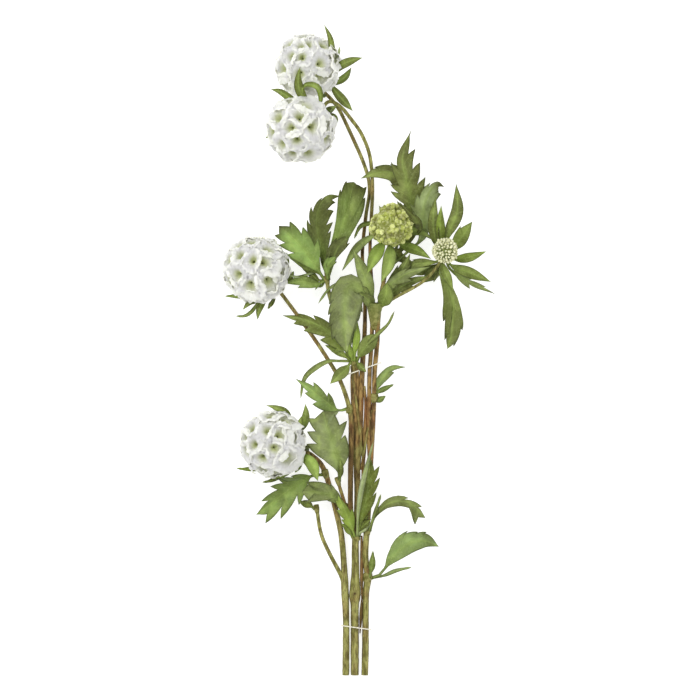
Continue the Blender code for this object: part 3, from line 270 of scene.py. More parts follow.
FOLIAGE = {
    "leaves_bud": whorl("right", "leaf_green", (444.6, 256.0, 25.5, 1.6), [
        blade([(447, 236, 31), (457, 212, 37), (456, 184, 36)], 11.5, 0.15, 0.5, peak=0.5, fold=20),
        blade([(441, 240, 31), (440, 222, 39), (441, 206, 41)], 9.0, 0.5),
        blade([(436, 243, 31), (433, 221, 37), (435.6, 196.5, 37)], 10.0, 0.1, 0.35),
        blade([(454, 247, 29), (464, 234, 36), (472, 222, 38)], 12.5, 0.5, 0.2, notch=0.85,
              teeth=[(460.5, 226)]),
        blade([(457, 259, 30), (471, 257, 34), (486, 251.6, 35)], 8.5, 0.65),
        blade([(452, 266, 27), (470, 273, 28), (491, 282, 25)], 10.0, 0.35, 0.25),
        blade([(451, 270, 21), (472, 283, 20), (494.6, 293.7, 17)], 5.0, 0.45, 0.8, notch=0.4,
              teeth=[(471.7, 279), (486, 287), (470, 289)]),
        blade([(441, 270, 29), (448, 287, 31), (453, 305, 26), (453.5, 326, 14), (447.6, 349, 1.5)], 19.0,
              0.2, 0.5, peak=0.42, fold=-8, notch=0.82,
              teeth=[(441.6, 308), (443, 322), (444.5, 341), (464.6, 325), (462.3, 331), (453.8, 347)]),
        blade([(443, 267, 33), (448, 279, 36), (453, 291, 34)], 8.0, 0.5, 0.3),
        blade([(438, 268, 21), (430, 274, 20), (422, 283, 18)], 11.5, 0.05, 0.5, notch=0.85,
              teeth=[(424, 274), (434, 282)]),
        blade([(436, 262, 25), (423, 263, 28), (410, 265, 27), (399, 272, 24)], 8.5, 0.3, 0.6, notch=0.75,
              teeth=[(412, 260), (408, 271)]),
        blade([(436, 266, 19), (422, 271, 18), (409, 268, 17), (399, 258, 16)], 8.0, 0.0, 0.2),
    ]),
    "leaves_upper_right": whorl("right", "leaf_olive", (386.5, 267.0, 19.7, 1.9), [
        blade([(400, 238, 14), (411, 208, 21), (406, 180, 31), (402.5, 158, 33), (411, 131, 30)], 20.0,
              0.25, 0.25, stalk=0.38, peak=0.38, notch=0.5, hook=0.3, sweep=1.2, deep=(0.72, 0.35),
              teeth=[(409.5, 137), (415, 150), (420, 163), (425, 176), (391, 163), (390, 184), (390, 190)]),
        blade([(396, 232, 13), (405, 207, 14), (405, 188, 18), (394, 173.5, 22), (377, 173, 25),
              (361, 178.5, 26)], 17.5, 0.0, 0.75, stalk=0.5, peak=0.35, notch=0.85,
              teeth=[(374, 167.5), (389, 164)]),
        blade([(405, 240, 11), (418, 208, 10), (425, 177, 12)], 12.5, 0.15, 0.3, stalk=0.25,
              teeth=[(425.5, 185), (424, 196)]),
        blade([(410, 250, 16), (422, 238, 20), (424, 227, 25), (423, 211, 30), (427, 195, 32),
              (437, 184, 29), (444, 187, 24)], 19.0, 1.1, 0.75, stalk=0.3, peak=0.58, fold=-4, notch=0.66,
              hook=0.25, deep=(0.8, 0.8),
              teeth=[(409.5, 205), (411.5, 211), (415, 218), (417.5, 194), (430, 183), (441, 196)]),
        blade([(394, 252, 19), (401, 258, 16), (413, 262, 13)], 9.0, 0.1),
        blade([(402, 248, 12), (414, 230, 17), (408, 217, 22), (398, 203, 24)], 7.0, 0.0, 0.2),
    ]),
    "leaves_left_cluster": whorl("middle", "leaf_light", (327.0, 280.0, 23.5, 1.8), [
        blade([(317, 268, 27), (305, 251, 31), (292, 237, 32), (279, 226, 29)], 27.0, 0.75, peak=0.62,
              fold=6, notch=0.6, hook=0.2, deep=(0.83, 0.9),
              teeth=[(274.4, 235.6), (279, 245.6), (287, 254.7), (303, 227), (290, 221.5), (318, 238)]),
        blade([(326, 262, 20), (319, 240, 19), (316.5, 220, 22), (320, 205, 25), (329, 196.5, 26),
              (340, 196, 22)], 17.5, 0.1, 0.45, peak=0.5, notch=0.6, hook=0.25, sweep=1.1, deep=(0.3, 0.4),
              teeth=[(311.5, 205.5), (307, 219), (322.5, 197.6), (334, 211), (333, 221), (335, 203),
              (331, 230)]),
        blade([(332, 255, 29), (341, 231, 32), (348, 208, 34), (352, 190, 31), (354, 182, 25)], 27.0, 0.3,
              stalk=0.25, peak=0.62, notch=0.84, deep=(0.76, 0.6),
              teeth=[(366, 189), (365, 199), (365, 214), (340, 190), (337, 205), (358, 180.5), (346, 182)]),
        blade([(330, 266, 29), (334, 253, 31), (342, 243, 33), (350, 235, 32)], 12.0, 0.1, 0.6, notch=0.8,
              deep=(0.2, 0.45), teeth=[(350, 243), (337, 238)]),
        blade([(327, 268, 29), (331, 261, 31), (337, 256, 31)], 7.0, 0.5, notch=0.7,
              teeth=[(329, 256), (337, 262)]),
        blade([(317, 284, 26), (301, 281.5, 25), (285, 283.5, 22)], 11.0, 0.45, fold=4,
              teeth=[(315.5, 290), (298, 288)]),
        blade([(318, 272, 24), (307, 266, 25), (298, 261, 24), (288, 257, 21)], 8.0, 0.2),
        blade([(318, 280, 21), (310, 273, 21), (302, 268, 20)], 6.0, 0.0),
        blade([(326, 274, 20), (324.5, 262, 17), (323, 248, 16), (325, 238, 17)], 7.0, 0.0, 0.1),
        blade([(321, 286, 22), (312, 281, 22), (303, 277, 21)], 5.5, 0.25),
        blade([(318, 272, 22), (306, 275, 24), (296, 277, 25), (288, 274, 24)], 2.4, 0.6, 1.2),
    ]),
    "leaves_middle": whorl("middle", "leaf_green", (354.0, 361.0, 16.4, 2.8), [
        blade([(342, 345, 24), (323, 328, 26), (303, 319, 25), (283, 315.5, 21)], 16.0, 0.15, 0.3,
              notch=0.5, teeth=[(294, 324), (304, 331), (297, 313.5), (313, 315), (320, 340), (331, 352)]),
        blade([(345, 356, 21), (335, 350, 22), (325, 345, 21)], 6.5, 0.1),
        blade([(355, 349, 25), (357, 336, 28), (356.6, 319, 28)], 6.5, 1.0, fold=25),
        blade([(350, 350, 26), (349, 343, 28)], 5.0, 1.0),
        blade([(361, 353, 25), (370, 342, 28), (379, 334, 28)], 14.0, 0.3, 0.4, peak=0.6),
        blade([(366, 346, 27), (379, 333, 29), (388, 324, 28), (394.5, 311, 26)], 3.6, 0.2, 0.5),
        blade([(341, 361, 21), (327, 361.6, 23), (311, 371, 24), (303.5, 381, 22), (300.6, 399, 18)], 5.0,
              0.35, 0.8),
        blade([(346, 369, 22), (338, 376, 24), (330, 384, 24)], 10.5, 0.3, 0.4),
        blade([(360, 366, 22), (366, 372, 22)], 6.5, 0.15, 0.3),
    ]),
    "leaves_sheath": whorl("right", "leaf_grey", (377.8, 311.0, 21.4, 2.8), [
        blade([(370, 293, 27), (363, 272, 31), (353, 249, 31)], 13.0, 0.65, 0.4, peak=0.4),
        blade([(386, 297, 22), (401, 287, 24), (416, 280, 25.5), (431, 276, 25)], 9.0, 0.0, 0.2, notch=0.75,
              teeth=[(402, 293), (414, 286)]),
        blade([(384, 292, 24), (394, 281, 27), (403, 268, 29), (410, 254, 28)], 8.5, 0.2, 0.2, notch=0.75,
              teeth=[(398, 265), (412, 262)]),
        blade([(382, 303, 26), (386, 295, 30), (387, 282, 31)], 13.5, 0.6, peak=0.5, fold=32),
        blade([(371, 303, 27), (366, 298, 30), (359, 293, 31)], 10.5, 0.1, 0.7, fold=25),
        blade([(365, 291, 24.5), (351, 283, 26), (338, 284, 27.5), (328, 290, 27.5), (318, 304, 26)], 3.6,
              0.4, 0.6),
        blade([(368, 297, 27), (360, 289, 31), (350, 287, 34), (346, 300, 35), (344.5, 322, 33),
              (347, 353, 30)], 31.0, 0.3, 1.0, stalk=0.22, peak=0.26, notch=0.86,
              teeth=[(329, 304), (328, 315), (329.5, 327), (332, 340)]),
        blade([(366, 298, 27), (361, 293, 29.5), (356, 299, 31), (354, 320, 29.5), (350, 350, 26.5)], 21.0,
              0.3, 1.0, stalk=0.1, peak=0.4, notch=0.8, teeth=[(362, 304), (362.5, 313), (358, 322)]),
        blade([(388, 287, 27), (404, 275, 32), (418, 270, 33), (430, 267, 33)], 10.5, 0.45, 0.6,
              teeth=[(398, 285), (412, 281), (408, 268)]),
    ], funnel=((374.0, 330.0, 20.4), (374.8, 303.0, 22.6))),
    "leaves_lower_left": whorl("middle", "leaf_grey", (338.0, 481.5, 12.9, 1.6), [
        blade([(338, 465, 19), (334, 447, 26), (328, 430, 30), (323, 411, 31)], 34.0, 0.35, 0.9, peak=0.58,
              notch=0.6,
              teeth=[(308, 418), (307, 431), (306, 443), (332, 408), (340, 407), (347, 420), (345, 434)]),
        blade([(341, 470, 20), (340, 459, 23)], 5.0, 0.1),
    ]),
    "leaf_lower_large": whorl("left", "leaf_light", (325.5, 474.0, 9.4, 2.4), [
        blade([(312, 476, 14), (300, 482, 17), (278, 498, 14), (256, 515, 4)], 27.0, 0.45, 0.1, stalk=0.15,
              peak=0.45, notch=0.5, hook=0.3, sweep=1.1,
              teeth=[(279, 477.5), (271, 486), (261.5, 501), (276, 477), (262.5, 526), (281.5, 518.5),
              (299, 505), (291, 476)]),
    ]),
    "leaf_folded": whorl("middle", "leaf_grey", (346.3, 508.0, 10.6, 1.7), [
        blade([(338, 500, 18), (324, 493, 22), (302, 492, 22)], 19.0, 0.2, 0.8, peak=0.72, fold=18,
              notch=0.85, teeth=[(334.7, 489), (327, 500.5), (329, 483), (305.5, 482), (305, 502)]),
    ]),
    "leaf_thin_branch": whorl("left", "leaf_olive", (316.6, 509.0, 9.1, 1.7), [
        blade([(309, 505, 11), (299, 502, 9)], 7.0, 0.05),
    ]),
    "leaf_mid_left": whorl("middle", "leaf_light", (349.3, 409.0, 18.3, 2.2), [
        blade([(337, 410, 21), (323, 399, 25), (309, 388, 25), (296, 379, 22)], 16.0, 0.7, 0.15, stalk=0.15,
              notch=0.55, teeth=[(313.7, 382), (304.7, 393), (312.3, 404), (320.4, 415.4), (328, 392)]),
    ]),
    "leaf_mid_right": whorl("right", "leaf_light", (374.0, 398.0, 16.6, 2.5), [
        blade([(377, 388, 17), (384, 377, 18), (393, 368.5, 18), (406, 367, 17)], 9.5, 0.6, 0.5, peak=0.35,
              notch=0.5, teeth=[(394.6, 372.5)]),
        blade([(377, 393, 16), (385, 388.5, 16), (393.8, 384.5, 16)], 5.0, 0.45),
        blade([(377, 401, 15), (381, 399, 15), (385.5, 396, 15)], 5.5, 0.3),
    ]),
    "leaves_lower_middle": whorl("middle", "leaf_green", (355.7, 537.0, 8.6, 3.2), [
        blade([(361, 520, 19), (366, 500, 25), (368.5, 480, 27), (370, 456, 26)], 14.0, 0.15, stalk=0.15,
              peak=0.5, notch=0.5, hook=0.3, sweep=1.3,
              teeth=[(379.5, 466), (380, 477.5), (376.5, 492), (364, 467), (360, 488)]),
        blade([(358, 514, 24), (361, 491, 32), (367, 465, 33), (373.5, 441, 30)], 5.0, 0.95, 1.2),
        blade([(350, 522, 19), (344, 508, 24), (338, 495, 26)], 10.5, 0.65, notch=0.6,
              teeth=[(336, 509), (341, 519), (352, 508), (335, 500)]),
        blade([(347, 528, 14), (341, 524, 14)], 6.5, 0.3),
        blade([(364, 524, 15), (368, 515, 16)], 6.0, 0.15),
        blade([(361, 528, 15), (366, 524, 17), (371, 519, 17)], 6.5, 0.1, notch=0.7,
              teeth=[(366, 519), (370, 524)]),
        blade([(360, 533, 14), (365, 530, 15.5), (371, 523, 15)], 2.6, 1.0, 1.2),
    ]),
    "leaf_arching": whorl("right", "leaf_green", (367.0, 531.0, 9.7, 2.7), [
        blade([(374.6, 517, 15), (386, 505, 21), (401, 501, 24), (415, 507, 21), (425.4, 518, 15)], 7.5,
              0.3, 0.7, notch=0.4, teeth=[(409, 498), (417, 527), (422, 507), (409, 508)]),
        blade([(375.6, 511, 20), (381, 494, 24)], 3.4, 0.4, 0.6),
    ]),
    "leaves_right_lower": whorl("right", "leaf_light", (367.6, 578.0, 6.9, 3.3), [
        blade([(381, 574, 10), (393, 557, 14), (408, 544, 15), (424, 541, 11), (439, 547, 3)], 18.0, 0.7,
              0.45, stalk=0.2, peak=0.5, notch=0.85, teeth=[(407, 531), (417, 532), (426, 532)]),
        blade([(384, 576, 8), (396, 571, 9), (412, 567.6, 6)], 3.8, 0.45, 0.8),
        blade([(372, 566, 13), (373, 551, 15)], 6.0, 0.2),
    ]),
}

# Bracts under the green head
GREEN_BRACTS = [
    blade([(374, 224, 25), (361, 226, 29), (354, 239, 27)], 4.5, 0.1, 0.3),
    blade([(373, 236, 26), (357, 248, 25), (342, 271, 22)], 7.5, 0.35, 0.7),
    blade([(382, 245, 29), (374, 258, 35), (367, 274, 35)], 12.0, 0.75),
    blade([(390, 247, 30), (389, 262, 37), (381, 283, 38)], 12.0, 0.7, 0.3),
    blade([(403, 245, 23), (418, 251, 28), (431, 259, 28)], 9.5, 0.55),
    blade([(403, 230, 18), (413, 231, 23), (423, 233, 25), (433, 240, 24)], 7.5, 0.5, 0.3),
    blade([(387, 219, 17), (379, 206, 25)], 9.0, 1.0, 1.6),
    blade([(404, 222, 17), (402, 210, 21), (397, 201, 24)], 6.0, 0.05, 0.2),
    blade([(408, 237, 18), (420, 231, 28), (418, 222, 41), (409, 213, 49.5), (399.5, 203, 46)], 7.0, 0.0,
          0.2, stalk=0.3, notch=0.6, deep=(0.2, 0.5), teeth=[(414, 214.5), (408, 219), (414, 225)]),
]

TIES = {
    "tie_lower": {"middle": (355.7, 628, 5.2), "half_width": 13.4, "half_height": 4.3, "slant": -0.14},
    "tie_upper": {"middle": (364.4, 368.5, 16.2), "half_width": 14.6, "half_height": 5.8, "slant": 0.36},
}
LOOP_POINTS = 96
THREAD_POINTS = 480
THREAD_SIDES = 6
THREAD_TWISTS = 26.0
STRAND_OFFSET = 0.28 * MM
STRAND_RADIUS = 0.32 * MM

# Light and camera
WORLD_STRENGTH = 0.74
FLOOR_HALF_WIDTH = 12.0
FLOOR_GLOW = 0.7
LIGHTS = (("key", (-0.8, 0.8, 1.7), 0.8, 22.0), ("fill", (1.0, -0.6, 1.5), 1.1, 8.0))
SENSOR_WIDTH = 36.0
FOCAL_LENGTH = 400.0
PHOTO_WIDTH = 700.0
CAMERA_AIM = (350.0, 350.0, 20.0)
FAR_CLIP = 60.0


def place(x, y, height):
    """A point of the plan grid, at a height in millimetres, in metres."""
    return Vector(((x - PLAN_MIDDLE[0]) * GRID, (PLAN_MIDDLE[1] - y) * GRID, height * MM))


def smooth(points, steps):
    """Points on a smooth curve through the given ones, steps to each span."""
    ends = [2.0 * points[0] - points[1]] + points + [2.0 * points[-1] - points[-2]]
    out = []
    for i in range(len(points) - 1):
        a, b, c, d = ends[i:i + 4]
        for step in range(steps):
            t = step / steps
            out.append(0.5 * (2.0 * b + (c - a) * t + (2.0 * a - 5.0 * b + 4.0 * c - d) * t * t
                              + (3.0 * b - a - 3.0 * c + d) * t ** 3))
    return out + [points[-1]]


class Path:
    """A line that is read by the share of its length."""

    def __init__(self, points):
        self.points = points
        self.marks = [0.0]
        for a, b in zip(points, points[1:]):
            self.marks.append(self.marks[-1] + (b - a).length)
        self.length = self.marks[-1]

    def at(self, share, rows=None):
        """The point at a share, or the row there of a list with one row for each point."""
        rows = rows or self.points
        goal = min(1.0, max(0.0, share)) * self.length
        i = min(len(rows) - 2, max(0, bisect.bisect_right(self.marks, goal) - 1))
        span = self.marks[i + 1] - self.marks[i]
        return rows[i].lerp(rows[i + 1], (goal - self.marks[i]) / span if span else 0.0)

    def tangent(self, share, step=0.015):
        return (self.at(share + step) - self.at(share - step)).normalized()


def head_frame(head):
    return place(*head["centre"]), Vector(head["axis"]).normalized()


def side_frame(axis):
    """Two directions square to an axis, the first as level as can be."""
    across = axis.cross(UP)
    if across.length < 0.05:
        across = Vector((1.0, 0.0, 0.0))
    across.normalize()
    return across, axis.cross(across).normalized()


def swing(across, over, turn):
    """The direction at a turn from the first of two square directions to the second."""
    return across * math.cos(turn) + over * math.sin(turn)


def ball_directions(count, reach, axis):
    """Directions spread evenly over a ball, from the crown out to the reach."""
    across, over = side_frame(axis)
    out = []
    for i in range(count):
        polar = math.acos(1.0 - 2.0 * (i + 0.5) / count)
        if polar > reach:
            break
        out.append(axis * math.cos(polar) + swing(across, over, i * GOLDEN_ANGLE) * math.sin(polar))
    return out


def nudged(direction, across, over, amount, draw):
    """A direction pushed by a random amount to its two sides."""
    moved = direction + across * draw.uniform(-amount, amount) + over * draw.uniform(-amount, amount)
    return moved.normalized()


def rough(point, scale, seed=0.0):
    """Smooth noise from -1 to 1 at a point."""
    return noise.noise(Vector((point.x * scale + seed, point.y * scale - seed, point.z * scale)))


class Shape:
    """Vertices, faces and named values per vertex, gathered for one piece."""

    def __init__(self, *names):
        self.points = []
        self.faces = []
        self.values = {name: [] for name in names}

    def add(self, point, values):
        self.points.append(point)
        for name, column in self.values.items():
            column.append(values.get(name, 0.0))
        return len(self.points) - 1

    def bridge(self, rings):
        """Faces between each closed ring and the next."""
        for a, b in zip(rings, rings[1:]):
            for j in range(len(a)):
                k = (j + 1) % len(a)
                self.faces.append((a[j], a[k], b[k], b[j]))

    def cap(self, rings):
        """Faces that close the first and the last ring."""
        self.faces += [tuple(reversed(rings[0])), tuple(rings[-1])]

    def piece(self, name, node, slot, materials):
        """The finished mesh, riding on the bunch in place of a node of the frame."""
        mesh = bpy.data.meshes.new(name)
        mesh.from_pydata(self.points, [], self.faces)
        for key, column in self.values.items():
            layer = mesh.attributes.new(key, "FLOAT", "POINT")
            layer.data.foreach_set("value", column)
        mesh.polygons.foreach_set("use_smooth", [True] * len(mesh.polygons))
        mesh.update()
        mesh.materials.append(materials[slot])
        made = bpy.data.objects.new(name, mesh)
        bpy.context.scene.collection.objects.link(made)
        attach(made, "root")
        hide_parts(node)


def sheet(shape, rows, thickness, closed=False):
    """A thin sheet through rows of (point, values), with both faces and its rims."""
    width = len(rows[0])
    top, bottom = [], []
    for i, row in enumerate(rows):
        above, below = [], []
        for j, (point, values) in enumerate(row):
            before = rows[max(0, i - 1)][j][0]
            after = rows[min(len(rows) - 1, i + 1)][j][0]
            left = row[(j - 1) % width if closed else max(0, j - 1)][0]
            right = row[(j + 1) % width if closed else min(width - 1, j + 1)][0]
            normal = (right - left).cross(after - before)
            normal = UP if normal.length < 1e-12 else normal.normalized()
            above.append(shape.add(point + normal * (0.5 * thickness), values))
            below.append(shape.add(point - normal * (0.5 * thickness), {**values, "under": 1.0}))
        top.append(above)
        bottom.append(below)
    last = width if closed else width - 1
    spans = list(zip(top, top[1:], bottom, bottom[1:]))
    for a, b, c, d in spans:
        for j in range(last):
            k = (j + 1) % width
            shape.faces += [(a[j], a[k], b[k], b[j]), (c[j], d[j], d[k], c[k])]
    for j in range(last):
        k = (j + 1) % width
        shape.faces.append((top[-1][j], top[-1][k], bottom[-1][k], bottom[-1][j]))
        shape.faces.append((top[0][k], top[0][j], bottom[0][j], bottom[0][k]))
    if not closed:
        for a, b, c, d in spans:
            shape.faces += [(a[0], b[0], d[0], c[0]), (b[-1], a[-1], c[-1], d[-1])]


def tube(shape, path, radius_at, sides, stations, values_at):
    """Rings of a tube along a path. radius_at(share, turn) gives its radius."""
    across = side_frame(path.tangent(0.0))[0]
    rings = []
    for i in range(stations):
        share = i / (stations - 1)
        tangent = path.tangent(share)
        across = (across - tangent * across.dot(tangent)).normalized()
        over = tangent.cross(across)
        ring = []
        for j in range(sides):
            turn = TURN * j / sides
            point = path.at(share) + swing(across, over, turn) * radius_at(share, turn)
            ring.append(shape.add(point, values_at(share, turn, point)))
        rings.append(ring)
    shape.bridge(rings)
    return rings


def turned(shape, centre, direction, length, profile, reach_at, values_at):
    """Rings of a shape turned about a direction, one for each (along, out) of its profile."""
    across, over = side_frame(direction)
    rings = []
    for along, out in profile:
        ring = []
        for j in range(TURNED_SIDES):
            turn = TURN * j / TURNED_SIDES
            middle = centre + direction * (along * length)
            point = middle + swing(across, over, turn) * reach_at(along, out, turn)
            ring.append(shape.add(point, values_at(along, j)))
        rings.append(ring)
    shape.bridge(rings)
    return rings


def blob(shape, centre, direction, radii, segments, rings, values, seed=0.0, bumpy=0.0):
    """An egg-shaped lump: radii across and along the direction."""
    wide, long = radii
    across, over = side_frame(direction)
    poles = [shape.add(centre + direction * end, values) for end in (-long, long)]
    grid = []
    for i in range(1, rings):
        polar = math.pi * i / rings
        ring = []
        for j in range(segments):
            out = swing(across, over, TURN * j / segments) * (math.sin(polar) * wide)
            point = out - direction * (math.cos(polar) * long)
            point *= 1.0 + bumpy * rough(centre + point, 700.0, seed)
            ring.append(shape.add(centre + point, values))
        grid.append(ring)
    for j in range(segments):
        k = (j + 1) % segments
        shape.faces += [(poles[0], grid[0][k], grid[0][j]), (poles[1], grid[-1][j], grid[-1][k])]
    shape.bridge(grid)


# Leaves

def blade_share(share, peak, stalk):
    """Half width of a leaf at a share of its length, with 1 as the widest and a sharp tip."""
    if share <= stalk or share >= 1.0:
        return 0.0
    t = (share - stalk) / (1.0 - stalk)
    if t < peak:
        return math.sin(0.5 * math.pi * t / peak) ** 0.95
    return math.cos(0.5 * math.pi * (t - peak) / (1.0 - peak)) ** 1.12


def plain_reach(form, share):
    """Reach of an edge with no teeth."""
    stalk_reach = STALK_HALF * min(1.0, 12.0 * (1.0 - share))
    return max(stalk_reach, form.half * blade_share(share, form.peak, form.stalk))


def plain_edge(form):
    """Samples of an edge with no teeth, past the stalk."""
    edge = []
    for i in range(1, PLAIN_SAMPLES):
        share = form.stalk + (1.0 - form.stalk) * i / PLAIN_SAMPLES
        edge.append((share, plain_reach(form, share), 5.0 * i / PLAIN_SAMPLES))
    return edge + [(1.0, 0.0, 5.0)]


def toothed_edge(form, teeth):
    """Samples of an edge that runs out to each tooth's tip and back to the notch past it."""
    length = form.path.length
    first_share, first_reach = teeth[0]
    from_share = form.stalk + 0.45 * (first_share - form.stalk)
    from_reach = min(plain_reach(form, from_share), 0.85 * first_reach)
    scale = from_reach / plain_reach(form, from_share)
    edge = []
    for i in range(1, 6):
        t = i / 5.0
        share = form.stalk + (from_share - form.stalk) * t
        edge.append((share, max(min(STALK_HALF, from_reach), plain_reach(form, share) * scale), 0.5 * t))
    for lobe, (share, reach) in enumerate(teeth, 1):
        for step in range(1, 7):
            t = step / 6.0
            bulge = 0.05 * (share - from_share) * length * 4.0 * t * (1.0 - t)
            edge.append((from_share + (share - from_share) * t,
                         from_reach + (reach - from_reach) * t ** 0.9 + bulge, lobe - 0.5 + 0.5 * t))
        behind = form.hook * (share - from_share)
        from_share = share - behind
        from_reach = form.notch * reach
        for t in (0.35, 0.7):
            edge.append((share - behind * t, reach + (from_reach - reach) * t - 0.03 * reach,
                         lobe + 0.5 * t))
        edge.append((from_share, from_reach, lobe + 0.5))
    for step in range(1, 9):
        t = step / 8.0
        bulge = 0.06 * (1.0 - from_share) * length * 4.0 * t * (1.0 - t)
        edge.append((from_share + (1.0 - from_share) * t, from_reach * (1.0 - t) + bulge * (1.0 - t),
                     len(teeth) + 0.5 + 0.5 * t))
    return edge


def outline(form, teeth):
    """One edge from root to tip: (share, reach, lobe) at each sample."""
    stalk = [(0.0, STALK_HALF * 1.35, 0.0), (0.5 * form.stalk, STALK_HALF, 0.0),
             (form.stalk, STALK_HALF, 0.0)]
    return stalk + (toothed_edge(form, teeth) if teeth else plain_edge(form))


def anchors(form, edge):
    """Where on the midrib each sample of an edge starts, so that no two rows cross."""
    out = []
    for share, reach, _ in edge:
        swept = share - form.sweep * reach / form.path.length
        out.append(min(share, max(min(share, 0.8 * form.stalk), swept)))
    out[-1] = 0.99
    for i in range(len(edge) - 2, -1, -1):
        share, reach, _ = edge[i]
        next_share, next_reach, _ = edge[i + 1]
        if reach > next_reach * 1.02 and next_reach > 0.0:
            ratio = next_reach / reach
            out[i] = min(out[i], (next_share - 0.006 - share * ratio) / (1.0 - ratio))
        out[i] = max(0.0, min(out[i], out[i + 1] - 0.002))
    return out


def read_edge(edge, roots, root):
    """An edge's share, reach and lobe where its row leaves the midrib at the root."""
    i = min(len(roots) - 2, max(0, bisect.bisect_right(roots, root) - 1))
    t = min(1.0, max(0.0, (root - roots[i]) / (roots[i + 1] - roots[i])))
    return [a + (b - a) * t for a, b in zip(edge[i], edge[i + 1])]


def leaf_axes(form, share):
    """Directions across a leaf and out of its face, at a share of its length."""
    forward = form.path.tangent(share, 0.03)
    across = side_frame(forward)[0]
    if form.level:
        flat = min(1.0, max(0.0, (share - 0.45) / 0.4))
        across = across * math.copysign(flat, across.dot(form.level)) + form.level * (1.0 - flat)
        across = (across - forward * across.dot(forward)).normalized()
    return across, across.cross(forward)


def sided_teeth(form):
    """The teeth of each edge, as shares of the leaf's length and reaches from the midrib."""
    teeth = {-1.0: [], 1.0: []}
    for x, y in form.teeth:
        tip = place(x, y, 0.0)
        spots = [(step / 100.0, form.path.at(step / 100.0)) for step in range(101)]
        gap, share, off = min((math.hypot(tip.x - spot.x, tip.y - spot.y), share, (tip - spot).xy[:])
                              for share, spot in spots)
        across = leaf_axes(form, share)[0]
        side = 1.0 if off[0] * across.x + off[1] * across.y > 0.0 else -1.0
        teeth[side].append((min(0.965, share), gap))
    return {side: sorted(found) for side, found in teeth.items()}


def leaf_cell(form, root, sample, side, t, widest):
    """A point of a leaf and its values, at a share t of a row from the midrib to its edge."""
    share, reach, lobe = sample
    at = root + (share - root) * t
    wide = reach * t
    across, normal = leaf_axes(form, at)
    base = form.path.at(at) + across * (side * wide)
    lift = wide * math.tan(math.radians(form.fold))
    if form.teeth:
        lift -= 0.14 * MM * math.cos(TURN * lobe) * 4.0 * t * (1.0 - t)
    swell = 1.1 * rough(base, 70.0, form.seed) + 0.7 * rough(base, 190.0, form.seed + 7.0)
    lift += form.wave * MM * (wide / widest) * swell
    dark_from, darkness = form.deep
    dark = darkness * min(1.0, max(0.0, (at - dark_from) / 0.14))
    # The side value carries the painted shade of one half of the leaf
    return base + normal * lift, {"across": wide / MM, "edge": t, "lobe": lobe, "along": at,
                                  "tone": form.tone, "grey": form.grey, "deep": dark,
                                  "side": side * min(1.0, 3.0 * t)}


def leaf_rows(form):
    """Rows of a leaf from its root to its tip, each from one edge over the midrib to the other."""
    edges = {side: outline(form, teeth) for side, teeth in sided_teeth(form).items()}
    roots = {side: anchors(form, edge) for side, edge in edges.items()}
    widest = max(reach for edge in edges.values() for _, reach, _ in edge)
    marks = []
    for root in sorted(roots[-1.0] + roots[1.0]):
        if not marks or root - marks[-1] > 0.0015:
            marks.append(root)
    rows = []
    for root in marks:
        row = []
        for side in (-1.0, 1.0):
            sample = read_edge(edges[side], roots[side], root)
            steps = range(form.columns, 0, -1) if side < 0.0 else range(form.columns + 1)
            row += [leaf_cell(form, root, sample, side, (j / form.columns) ** 1.1, widest) for j in steps]
        rows.append(row)
    return rows


def midrib(shape, form):
    """The rib that stands out along the middle of a leaf."""
    def radius_at(share, turn):
        fade = max(0.1, 1.0 - share) ** 0.8
        start = min(STALK_HALF * 0.85, (0.25 + 0.014 * form.width) * MM)
        return start * fade * (1.0 + 0.15 * math.cos(2.0 * turn))

    def values_at(share, turn, point):
        return {"lobe": 0.5, "along": share, "tone": form.tone, "grey": form.grey}

    line = [form.path.at(i / 24.0 * 0.97) for i in range(25)]
    shape.cap(tube(shape, Path(line), radius_at, 6, 25, values_at))


def leaf(shape, points, width, **traits):
    """A leaf as one sheet, its rows sweeping forward from the midrib to its two edges."""
    form = SimpleNamespace(**{**LEAF_FORM, **traits}, path=Path(points), width=width, half=0.5 * width * MM)
    sheet(shape, leaf_rows(form), form.thickness * MM)
    midrib(shape, form)


def table_leaf(shape, centre, axis, row, gaps, seed):
    """A leaf of the tables, led out of the centre square to an axis and then along its own route."""
    points = [place(*point) for point in row["route"]]
    away = points[0] - centre
    away = (away - axis * away.dot(axis)).normalized()
    line = smooth([centre + away * gap for gap in gaps] + points, CURVE_STEPS)
    traits = {key: value for key, value in row.items() if key not in ("route", "width")}
    leaf(shape, line, row["width"], seed=seed, **traits)


def sheath(shape, centre, direction, radius, length, flare, tone):
    """The swollen ring of the leaf bases round a stem, opening into a cup where it flares."""
    def reach_at(along, out, turn):
        wobble = 1.0 + 0.14 * math.sin(2.0 * turn + along * 3.0)
        return radius + (out + flare * (along + 0.5) ** 1.6) * MM * wobble

    def values_at(along, j):
        bark = 0.95 - 0.75 * (along + 0.5) if flare else 0.75
        return {"across": 1.0, "edge": 0.3, "lobe": 0.25 * j, "along": 0.1, "tone": tone, "grey": 0.2,
                "woody": bark}

    turned(shape, centre, direction, length, SHEATH_PROFILE, reach_at, values_at)


def nearest_direction(routes, centre):
    """Direction of the stem at its nearest point to the centre."""
    spans = [span for route in routes for span in zip(route, route[1:])]
    start, end = min(spans, key=lambda span: (centre - 0.5 * (span[0] + span[1])).length)
    return (end - start).normalized()


